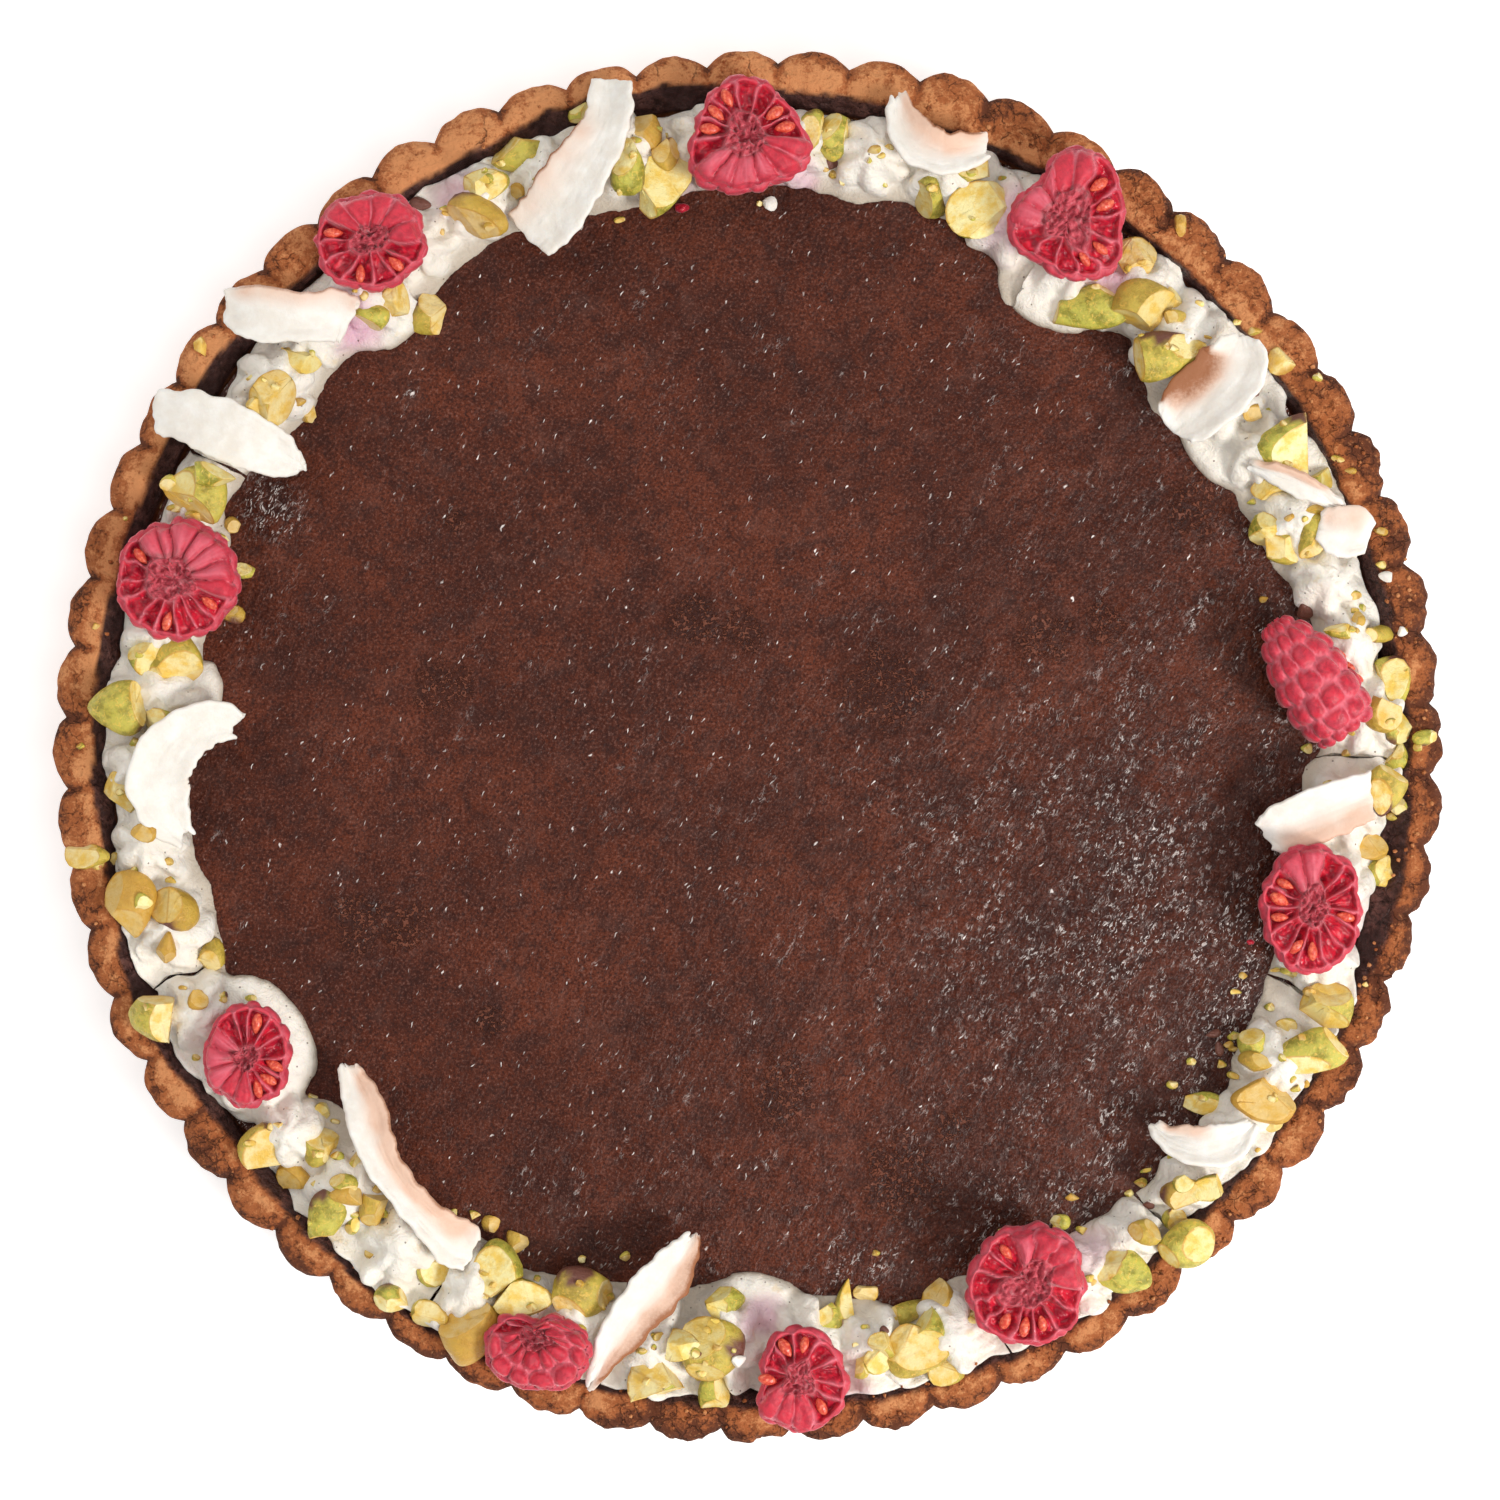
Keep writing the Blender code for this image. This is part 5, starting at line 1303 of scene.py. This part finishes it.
# Crumbs of nut that fell on the ganache and the crust, as the last tables
CRUMBS = (
    (26, 112.8, 1.8, 0.9), (24.6, 113.9, 1.6, 0.8), (33, 116.8, 1.4, 1.2), (39.4, 112.7, 1.9, 1.1),
    (40.9, 111.6, 1.4, 0.9), (35.9, 113, 3.6, 3.7), (50.3, 116.3, 1.7, 3.1), (144, 117, 1.7, 3.4),
    (359.9, 115.3, 1.6, 1.2), (353.7, 111.9, 1.6, 1), (18.8, 114.8, 2, 1), (16, 113.2, 1.4, 1),
    (9.9, 114.4, 1.2, 1), (6.4, 114, 1.4, 1.2), (241.7, 94.2, 2.6, 2.3), (239.6, 94.5, 1.8, 1.2),
    (256.3, 91.3, 1.4, 1.3), (252, 93.7, 1.2, 1), (328, 98, 1.4, 1), (321.3, 94, 1.5, 1.2),
    (311.8, 101.8, 1.8, 1.2), (265.9, 100.2, 1.2, 1), (89, 94.2, 1, 0.8), (230, 99.6, 1.6, 1.2),
    (190.4, 114.2, 1.8, 1.2), (180, 115.2, 1.2, 1), (335, 94.6, 1.2, 0.9), (346.4, 104, 2, 1.2),
)


NUT_SMOOTH = 42


def pistachio_finish(colours):
    """Pistachio: green skin with brown husk, and pale yellow flesh where it is cut. Amber shows where the nut
    has yellowed, and as a painted shade towards the bottom of each piece.
    """
    made = Finish("chopped pistachio", Specular_IOR_Level=0.45, Subsurface_Weight=0.12,
                  Subsurface_Scale=0.001, Subsurface_Radius=(1.0, 0.9, 0.4))
    skin = made.attribute("skin")
    amber_and_low_shade = made.attribute("amber_and_low_shade")
    cloud = made.grain(2.6, detail=4.0, roughness=0.6)
    vein = made.grain(0.8, detail=4.0, roughness=0.7, distortion=0.8)
    fine = made.grain(0.3, detail=2.0)
    flesh = made.coated(
        colours.nut_yellow,
        (made.ramp(cloud, 0.34, 0.62), colours.nut_pale),
        (made.times(made.attribute("tone"), made.span(cloud, 0.05, 0.7)), colours.nut_green),
        (made.times(amber_and_low_shade, 0.6), colours.nut_amber_and_shade),
        (made.times(made.ramp(skin, 0.05, 0.4), 0.8), colours.nut_gold),
    )
    coat = made.coated(
        colours.nut_olive,
        (made.ramp(cloud, 0.34, 0.6), colours.nut_green),
        (made.times(made.ramp(vein, 0.48, 0.7), 0.8), colours.nut_yellow),
        (made.times(amber_and_low_shade, 0.8), colours.nut_amber_and_shade),
        (made.attribute("husk"), colours.husk),
    )
    tone = made.mix(made.ramp(skin, 0.42, 0.8), flesh, coat)
    relief = made.weighed((vein, 0.7), (fine, 0.3))
    return made.done(tone, made.span(cloud, 0.2, 0.5), made.bump(relief, 0.4, 0.9))


SHARP_EDGE = math.radians(30)


def nut_piece(name, length, width, height, kind, detail):
    """One piece of pistachio round the origin: an oval kernel with flat cuts, crisp at its edges."""
    draw = seeded(name)
    key = draw.uniform(0, 80)
    bm = ellipsoid(int(18 * detail) + 8, int(10 * detail) + 6)
    swing = Matrix.Rotation(draw.uniform(-0.25, 0.25), 3, "Y")
    lean = draw.choice((-1, 1)) * draw.uniform(0.15, 0.5)
    grow = 1.4 if kind[0] == "c" else 1.08
    for vert in bm.verts:
        taper = grow * (1 - lean * vert.co.z)
        along = vert.co.z * length / 2 * grow
        vert.co = swing @ Vector((along, vert.co.x * width / 2 * taper, vert.co.y * height / 2 * grow))
    coat = bm.faces.layers.int.new("coat")
    for face in bm.faces:
        face[coat] = 1
    cuts = []
    if kind[0] == "k":
        end = draw.choice((-1, 1))
        cuts.append((Vector((end, draw.uniform(-0.5, 0.5), draw.uniform(0.1, 0.8))), 0.7))
        if draw.random() < 0.65:
            cuts.append((Vector((-0.4 * end, draw.uniform(-0.9, 0.9), 0.9)), draw.uniform(0.62, 0.8)))
    elif kind[0] == "c":
        tilt = draw.choice((0.5, 0.9, 1.4))
        top = Vector((draw.uniform(-tilt, tilt), draw.uniform(-tilt, tilt), 1.0))
        cuts.append((top, draw.uniform(0.3, 0.62)))
        heading = draw.uniform(0, math.tau)
        for _ in range(draw.choice((1, 1, 2, 3))):
            heading += draw.uniform(0.9, 2.1)
            slope = draw.uniform(-0.3, 1.5)
            cuts.append((Vector((math.cos(heading), math.sin(heading), slope)), draw.uniform(0.4, 0.75)))
    for normal, share in cuts:
        normal.normalize()
        reach = max(vert.co.dot(normal) for vert in bm.verts)
        for face in cut_off(bm, normal * reach * share, normal):
            face[coat] = 0
    bare = [face for face in bm.faces if face[coat] == 0]
    if detail > 0.1 and bare:
        rings = bmesh.ops.inset_individual(bm, faces=bare, thickness=min(0.55, width * 0.1), depth=0.0)
        for face in rings["faces"]:
            face[coat] = 0
        bmesh.ops.poke(bm, faces=bare, offset=draw.uniform(-0.07, 0.02) * width)
    edges = [edge for edge in bm.edges if len(edge.link_faces) == 2 and edge.calc_face_angle() > SHARP_EDGE]
    if edges:
        bmesh.ops.bevel(bm, geom=edges, offset=min(length, width) * 0.028, offset_type="OFFSET", segments=1,
                        profile=0.5, affect="EDGES", material=-1, clamp_overlap=True)
    bmesh.ops.triangulate(bm, faces=[face for face in bm.faces if len(face.verts) > 4])
    skin, tone, amber_and_low_shade, husk = numbers_on(bm, "skin", "tone", "amber_and_low_shade", "husk")
    green = max(0.0, draw.uniform(-0.6, 0.75))
    yellowed = draw.uniform(0.55, 1.0) if "a" in kind else max(0.0, draw.uniform(-0.4, 0.5))
    husk_side = Vector((draw.uniform(-1, 1), draw.uniform(-1, 1), draw.uniform(-0.5, 0.1))).normalized()
    husk_share = draw.uniform(0.5, 0.85) if kind[0] == "k" else draw.uniform(0.6, 1.2)
    if kind[0] == "b":
        husk_share = -2.0
    bm.normal_update()
    low = min(vert.co.z for vert in bm.verts)
    high = max(vert.co.z for vert in bm.verts)
    for vert in bm.verts:
        faces = vert.link_faces
        vert[skin] = sum(face[coat] for face in faces) / max(1, len(faces))
        vert[tone] = green
        # Amber is the piece's own yellowing, plus a painted shade that grows towards the bottom of the piece.
        vert[amber_and_low_shade] = min(1.0, yellowed + 0.75 * ease(0.6, 0.05, (vert.co.z - low) / (high - low)))
        side = vert.co.normalized().dot(husk_side) + 0.25 * rough(vert.co, 2.0, key)
        vert[husk] = ease(husk_share, husk_share + 0.15, side)
        ridge = rough(Vector((vert.co.x * 0.35, vert.co.y, vert.co.z)), 1.5, key) * 0.12
        bend = 0.3 * rough(vert.co, 3.2, key + 6)
        vert.co += vert.normal * (ridge + bend + 0.06 * rough(vert.co, 0.9, key + 3)) * min(1.0, width / 5)
    return bm


def build_pistachios(sizes, colours):
    """The large pistachio pieces, each where its solid lies."""
    finish = pistachio_finish(colours)
    for index, (bearing, distance, length, width, turn, kind) in enumerate(PISTACHIOS):
        name = f"pistachio_{index + 1}"
        low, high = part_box(name)
        place = polar(bearing, distance, ((low + high) / 2 / MM).z)
        bm = nut_piece(name, length, width, (high.z - low.z) / MM, kind, 1.0)
        remember_ground(moved(bm, Matrix.Translation(place) @ turned(turn)))
        finished(name + "_nut", bm, [finish], [name], smooth_angle=NUT_SMOOTH)


def scattered(name, source, table, flatness, sink, kind, detail, finish="chopped pistachio",
              nodes=()):
    """Makes one piece of the nuts of one table, each set down on what lies below it. Those that stand for
    solids then carry what is laid later."""
    draw = seeded(source)
    whole = bmesh.new()
    for index, (bearing, distance, size_x, size_y) in enumerate(table):
        along = max(size_x, size_y)
        across = min(size_x, size_y)
        height = flatness * min(across * 1.15, 0.75 * along) + 0.3
        turn = (0.0 if size_x >= size_y else math.pi / 2) + draw.uniform(-0.35, 0.35)
        style = kind if kind != "c" or draw.random() < 0.75 else "ca"
        piece = nut_piece(f"{source} {index}", along, across, height, style, detail)
        centre = polar(bearing, distance)
        near = across * 0.3
        steps = ((0, 0), (near, 0), (-near, 0), (0, near), (0, -near))
        found = [ground_at(centre.x + dx, centre.y + dy) for dx, dy in steps]
        slope = found[0][1]
        levels = sorted(hit[0] for hit in found if hit)
        tilt = UP.rotation_difference(UP.lerp(slope, 0.55).normalized()).to_matrix().to_4x4()
        centre.z = levels[len(levels) // 2] + height * (0.5 - sink)
        poured_into(whole, moved(piece, Matrix.Translation(centre) @ tilt @ Matrix.Rotation(turn, 4, "Z")))
    if nodes:
        remember_ground(whole)
    return finished(name, whole, [bpy.data.materials[finish]], nodes, smooth_angle=NUT_SMOOTH)


def build_small_nuts(sizes, colours):
    """Small pistachio pieces on the cream, which the solids hold as part of it, and slivers between them."""
    creams = [f"cream_{index + 1}" for index in range(len(RUN_ENDS) - 1)]
    scattered("small_pistachios", "small nuts", SMALL_NUTS, 0.78, 0.28, "c", 0.45, nodes=creams)
    scattered("pistachio_bits", "nut bits", NUT_BITS, 0.7, 0.3, "c", 0.25)


# Flakes of brown skin, as the last tables
SKIN_FLAKES = (
    (328.2, 94.8, 2.6, 1.3), (327.2, 97, 1.5, 2.6), (121.3, 109.6, 3.6, 2.2), (13.7, 98.9, 2.4, 3.6),
    (82, 101.6, 3.4, 1.8), (311, 105.2, 2, 1.4), (35, 106, 1.8, 1.2), (283, 103, 1.6, 1.4),
)

# Slivers of coconut, as the last tables
COCONUT_BITS = (
    (87.9, 94.2, 2.6, 2.4), (269, 105, 2.6, 2), (14.9, 113.5, 2.6, 1.8), (9.9, 114.3, 1.8, 1.6),
    (232, 97.4, 2.2, 1.6), (17.6, 109.6, 1.8, 1.4),
)

# Bits of raspberry that fell on the filling, as the last tables
BERRY_BITS = ((97.2, 94.2, 2.6, 1.7), (338.6, 93.4, 1.3, 1.0))


def build_bits(sizes, colours):
    """Flakes of brown pistachio skin, slivers of coconut and bits of raspberry."""
    scattered("coconut_bits", "coconut bits", COCONUT_BITS, 0.5, 0.1, "k", 0.15, "toasted coconut")
    scattered("skin_flakes", "skin flakes", SKIN_FLAKES, 0.4, 0.1, "b", 0.15)
    draw = seeded("berry bits")
    whole = bmesh.new()
    for bearing, distance, size_x, size_y in BERRY_BITS:
        place = polar(bearing, distance)
        level = ground_at(place.x, place.y)[0]
        bit = ellipsoid(18, 12)
        wet = bit.verts.layers.float.new("wet")
        for vert in bit.verts:
            vert[wet] = 0.8
            vert.co *= 1 + 0.5 * rough(vert.co, 0.9, size_x)
        turn = Matrix.Rotation(draw.uniform(-0.8, 0.2), 4, "Z")
        lying = Matrix.Translation((place.x, place.y, level + 0.4)) @ turn
        poured_into(whole, moved(bit, lying @ Matrix.Diagonal((size_x / 2, size_y / 2, 0.7, 1))))
    finished("raspberry_bits", whole, [bpy.data.materials["raspberry flesh"]])


def build_crumbs(sizes, colours):
    """Crumbs of nut on the crust and the ganache, and crumbs of pastry by the rim."""
    scattered("nut_crumbs", "crumbs", CRUMBS, 0.7, 0.25, "c", 0.05)
    draw = seeded("nut dust")
    table = [(draw.uniform(0, 360), draw.gauss(103.5, 4.2), draw.uniform(0.7, 2.0), draw.uniform(0.6, 1.3))
             for _ in range(sizes.nut_dust)]
    scattered("nut_dust", "nut dust", table, 0.6, 0.3, "c", 0.05)
    draw = seeded("pastry crumbs")
    whole = bmesh.new()
    for _ in range(sizes.pastry_crumbs):
        bearing = draw.gauss(-20, 70)
        distance = draw.uniform(112.5, 118.2)
        size = draw.uniform(0.35, 1.0)
        place = polar(bearing, distance)
        found = ground_at(place.x, place.y)
        if found is None or not 22.0 < found[0] < 27.5:
            continue
        level = found[0]
        crumb = bmesh.new()
        bmesh.ops.create_icosphere(crumb, subdivisions=1, radius=size / 2)
        layers = {label: crumb.verts.layers.float.new(label) for label in ("bake_and_notch_shade", "inner")}
        pale = draw.uniform(-0.1, 0.7)
        for vert in crumb.verts:
            vert.co *= draw.uniform(0.7, 1.25)
            vert[layers["bake_and_notch_shade"]] = pale
        bmesh.ops.translate(crumb, vec=Vector((place.x, place.y, level + size * 0.2)), verts=crumb.verts)
        poured_into(whole, crumb)
    finished("pastry_crumbs", whole, [bpy.data.materials["baked shortcrust"]])


# Camera: the photograph's lens and where it hangs over the middle of the frame
LENS_MM = 85.0
SENSOR_MM = 36.0
CAMERA_PLACE = (0.00009, -0.00072, 0.6356)

LIGHT_COLOUR = (1.0, 0.975, 0.94)
SKY_COLOUR = (1.0, 0.99, 0.975, 1.0)

# Lights: name, place, size and power
LIGHTS = (
    ("soft key", (0.62, -0.42, 0.72), 0.34, 7.8),
    ("overhead patch", (0.2, -0.1, 1.05), 0.3, 1.8),
    ("fill", (-0.6, 0.5, 0.8), 0.9, 3.0),
)


def build_stage(sizes, colours):
    """Pale floor, soft studio light and the camera over the tart."""
    bm = bmesh.new()
    bmesh.ops.create_grid(bm, x_segments=1, y_segments=1, size=3.0)
    bmesh.ops.translate(bm, vec=(0, 0, -0.0002), verts=bm.verts)
    mesh = bpy.data.meshes.new("floor")
    bm.to_mesh(mesh)
    bm.free()
    made = Finish("pale floor", Roughness=0.9, Specular_IOR_Level=0.1, Emission_Color=(1, 1, 1, 1),
                  Emission_Strength=0.42)
    mesh.materials.append(made.done(colours.floor))
    floor = bpy.data.objects.new("floor", mesh)
    bpy.context.scene.collection.objects.link(floor)
    scene = bpy.context.scene
    world = bpy.data.worlds.new("studio")
    world.use_nodes = True
    background = world.node_tree.nodes["Background"]
    background.inputs["Color"].default_value = SKY_COLOUR
    background.inputs["Strength"].default_value = sizes.ambient
    scene.world = world
    for name, place, size, power in LIGHTS:
        light = bpy.data.lights.new(name, "AREA")
        light.shape = "DISK"
        light.size = size
        light.energy = power
        light.color = LIGHT_COLOUR
        lamp = bpy.data.objects.new(name, light)
        lamp.location = place
        aim = Vector((0, 0, 0.02)) - Vector(place)
        lamp.rotation_euler = aim.to_track_quat("-Z", "Y").to_euler()
        scene.collection.objects.link(lamp)
    camera = bpy.data.cameras.new("camera")
    camera.lens = LENS_MM
    camera.sensor_width = SENSOR_MM
    camera.clip_start = 0.01
    view = bpy.data.objects.new("camera", camera)
    view.location = CAMERA_PLACE
    scene.collection.objects.link(view)
    scene.camera = view
    scene.view_settings.view_transform = "Standard"
    return floor


def size_of(name, default, about, **limits):
    return FloatProperty(name=name, description=about, default=default, **limits)


def tint(name, red, green, blue, about):
    return FloatVectorProperty(name=name, description=about, default=shade(red, green, blue), subtype="COLOR",
                               min=0.0, max=1.0)


class TartSizes(bpy.types.PropertyGroup):
    """Sizes that a user would change."""

    flute_relief: size_of("Flute relief", 1.0, "How far the flutes are pillowed, as a share", min=0.0)
    crumb_relief: size_of("Crumb relief", 1.0, "Roughness of the baked crust, as a share", min=0.0)
    ganache_relief: size_of("Ganache relief", 1.0, "Unevenness of the filling, as a share", min=0.0)
    ridge_depth: size_of("Ridge depth", 0.27, "Depth of the cream's furrows, as a share", min=0.0, max=0.5)
    cream_relief: size_of("Cream relief", 1.0, "Unevenness of the cream, as a share", min=0.0)
    cream_grain: size_of("Cream grain", 0.48, "Grain of the cream's surface in millimetres", min=0.2)
    drupelet_relief: size_of("Drupelet relief", 1.05, "Swell of the drupelets in millimetres", min=0.0)
    berry_steps: IntProperty(name="Berry steps", description="Points round a raspberry", default=168, min=24)
    chip_thickness: size_of("Chip thickness", 0.00125, "Thickness of the coconut", unit="LENGTH", min=0.0002)
    pastry_crumbs: IntProperty(name="Pastry crumbs", description="Crumbs on the rim", default=260, min=0)
    nut_dust: IntProperty(name="Nut dust", description="Tiny bits of nut on the cream", default=230, min=0)
    ambient: size_of("Ambient light", 0.42, "Strength of the studio's even light", min=0.0)


class TartColours(bpy.types.PropertyGroup):
    """Colours of the finishes."""

    crust_pale: tint("Pale crust", 214, 146, 96, "The crust's inner edge and crumb")
    crust: tint("Crust", 170, 98, 56, "The baked crust")
    crust_dark: tint("Dark crust", 102, 56, 36, "Darker patches of the crust")
    crust_crack: tint("Crack", 58, 30, 20, "Cracks in the crust")
    cocoa_pale: tint("Pale cocoa", 112, 74, 68, "Smears on the inner wall")
    cocoa: tint("Cocoa", 62, 38, 36, "Ganache on the crust's inner wall")
    ganache: tint("Ganache", 97, 44, 25, "The set filling")
    ganache_dark: tint("Dark ganache", 72, 30, 16, "Darker parts of the filling")
    ganache_bloom: tint("Bloom", 132, 94, 84, "Greyish bloom on the filling")
    # A painted highlight on the tops of the small bubbles.
    ganache_bubble_highlight: tint("Warm ganache", 130, 78, 60, "Tops of the small bubbles")
    # Deep ganache is used for darker speckle and for the filling's glossier parts. It is also a painted shade
    # in the dents, beside the glint crests, between the bubbles and in the hollows of the crust's inner wall.
    ganache_deep_and_shade: tint("Deep ganache", 44, 20, 16, "Hollows between the bubbles")
    # A painted highlight: the glints are painted into the filling's colour.
    painted_glint: tint("Glint", 250, 242, 238, "Bright specks on the filling")
    cream: tint("Cream", 252, 247, 238, "Whipped cream")
    cream_shade: tint("Cream shade", 245, 238, 227, "Deeper parts of the cream")
    cream_edge: tint("Thin cream", 198, 186, 170, "Thin cream over the filling")
    cream_tan: tint("Tan cream", 238, 214, 168, "Where nut oil has tinted the cream")
    stain: tint("Stain", 226, 176, 200, "Berry juice in the cream")
    speck: tint("Speck", 90, 66, 50, "Specks in the cream")
    berry: tint("Raspberry", 216, 40, 62, "Skin of the raspberries")
    berry_dark: tint("Dark raspberry", 168, 22, 46, "Darker skin")
    berry_wet: tint("Wet flesh", 214, 27, 54, "Opened flesh")
    berry_deep: tint("Deep flesh", 150, 10, 38, "Deeper flesh")
    berry_dust: tint("Dusty bloom", 209, 80, 100, "Bloom on the skin")
    # The drupelet borders are a painted sheen along each drupelet's rim. The membranes are the berry's own
    # pale colour.
    berry_pale_and_rim_sheen: tint("Drupelet border", 230, 120, 136, "Borders and membranes")
    core: tint("Core", 206, 84, 98, "The hollow core")
    core_dark: tint("Dark core", 150, 38, 54, "Deeper core")
    core_pale: tint("Pale core", 196, 132, 138, "Flakes in the core")
    seed: tint("Seed", 240, 120, 88, "Raspberry seeds")
    seed_dark: tint("Dark seed", 206, 66, 50, "Shaded seeds")
    coconut: tint("Coconut", 243, 241, 236, "Plain coconut")
    coconut_shade: tint("Coconut shade", 233, 227, 218, "Deeper coconut")
    toast_light: tint("Light toast", 241, 215, 196, "Where toasting begins")
    toast: tint("Toast", 216, 170, 144, "Toasted coconut")
    toast_brown: tint("Brown toast", 158, 102, 68, "Dark toasted edges")
    nut_pale: tint("Pale nut", 255, 242, 180, "Cut pistachio in the light")
    nut_yellow: tint("Yellow nut", 244, 206, 94, "Cut pistachio")
    nut_green: tint("Green nut", 200, 194, 84, "Green pistachio")
    nut_olive: tint("Olive nut", 142, 138, 44, "Dark pistachio skin")
    nut_gold: tint("Golden nut", 200, 146, 44, "The golden rim of a cut")
    # Amber is the nut's own yellowing, and also a painted shade towards the bottom of each piece.
    nut_amber_and_shade: tint("Amber nut", 206, 150, 60, "Yellowed pistachio")
    husk: tint("Husk", 112, 68, 56, "Brown skin of the nut")
    floor: FloatVectorProperty(name="Floor", description="The floor", default=(0.97, 0.97, 0.97),
                               subtype="COLOR", min=0.0, max=1.0)


class PieceOperator:
    """What the operators share: each makes one piece or one group of like pieces."""

    bl_options = {"REGISTER", "UNDO"}

    def execute(self, context):
        self.make(context.scene.tart_sizes, context.scene.tart_colours)
        return {"FINISHED"}


class TART_OT_crust(PieceOperator, bpy.types.Operator):
    """Makes the fluted shell"""

    bl_idname = "tart.crust"
    bl_label = "Crust"
    make = staticmethod(build_crust)


class TART_OT_ganache(PieceOperator, bpy.types.Operator):
    """Pours the filling"""

    bl_idname = "tart.ganache"
    bl_label = "Ganache"
    make = staticmethod(build_ganache)


class TART_OT_cream(PieceOperator, bpy.types.Operator):
    """Pipes the ring of cream"""

    bl_idname = "tart.cream"
    bl_label = "Cream"
    make = staticmethod(build_cream)


class TART_OT_half_raspberries(PieceOperator, bpy.types.Operator):
    """Lays the half raspberries"""

    bl_idname = "tart.half_raspberries"
    bl_label = "Half raspberries"
    make = staticmethod(build_half_raspberries)


class TART_OT_whole_raspberry(PieceOperator, bpy.types.Operator):
    """Lays the whole raspberry"""

    bl_idname = "tart.whole_raspberry"
    bl_label = "Whole raspberry"
    make = staticmethod(build_whole_raspberry)


class TART_OT_chips(PieceOperator, bpy.types.Operator):
    """Lays the coconut chips"""

    bl_idname = "tart.chips"
    bl_label = "Coconut chips"
    make = staticmethod(build_chips)


class TART_OT_pistachios(PieceOperator, bpy.types.Operator):
    """Lays the large pistachio pieces"""

    bl_idname = "tart.pistachios"
    bl_label = "Pistachios"
    make = staticmethod(build_pistachios)


class TART_OT_small_nuts(PieceOperator, bpy.types.Operator):
    """Scatters the small pistachio pieces"""

    bl_idname = "tart.small_nuts"
    bl_label = "Small nuts"
    make = staticmethod(build_small_nuts)


class TART_OT_crumbs(PieceOperator, bpy.types.Operator):
    """Scatters the crumbs of nut and pastry"""

    bl_idname = "tart.crumbs"
    bl_label = "Crumbs"
    make = staticmethod(build_crumbs)


class TART_OT_bits(PieceOperator, bpy.types.Operator):
    """Scatters flakes of brown skin and bits of raspberry"""

    bl_idname = "tart.bits"
    bl_label = "Bits"
    make = staticmethod(build_bits)


class TART_OT_stage(PieceOperator, bpy.types.Operator):
    """Sets the floor, the light and the camera"""

    bl_idname = "tart.stage"
    bl_label = "Stage"
    make = staticmethod(build_stage)


OPERATORS = (
    TART_OT_crust, TART_OT_ganache, TART_OT_cream, TART_OT_half_raspberries,
    TART_OT_whole_raspberry, TART_OT_chips, TART_OT_pistachios, TART_OT_small_nuts,
    TART_OT_crumbs, TART_OT_bits, TART_OT_stage,
)


class TART_PT_panel(bpy.types.Panel):
    """Lists the pieces of the tart."""

    bl_idname = "TART_PT_panel"
    bl_label = "Chocolate raspberry tart"
    bl_space_type = "VIEW_3D"
    bl_region_type = "UI"
    bl_category = "Tart"

    def draw(self, context):
        for operator in OPERATORS:
            self.layout.operator(operator.bl_idname)


CLASSES = (TartSizes, TartColours, *OPERATORS, TART_PT_panel)


def register():
    for cls in CLASSES:
        bpy.utils.register_class(cls)
    bpy.types.Scene.tart_sizes = PointerProperty(type=TartSizes)
    bpy.types.Scene.tart_colours = PointerProperty(type=TartColours)


def unregister():
    del bpy.types.Scene.tart_colours
    del bpy.types.Scene.tart_sizes
    for cls in reversed(CLASSES):
        bpy.utils.unregister_class(cls)


def main():
    register()
    bpy.ops.tart.crust()
    bpy.ops.tart.ganache()
    bpy.ops.tart.cream()
    bpy.ops.tart.half_raspberries()
    bpy.ops.tart.whole_raspberry()
    bpy.ops.tart.chips()
    bpy.ops.tart.pistachios()
    bpy.ops.tart.small_nuts()
    bpy.ops.tart.crumbs()
    bpy.ops.tart.bits()
    bpy.ops.tart.stage()


if __name__ == "__main__":
    main()
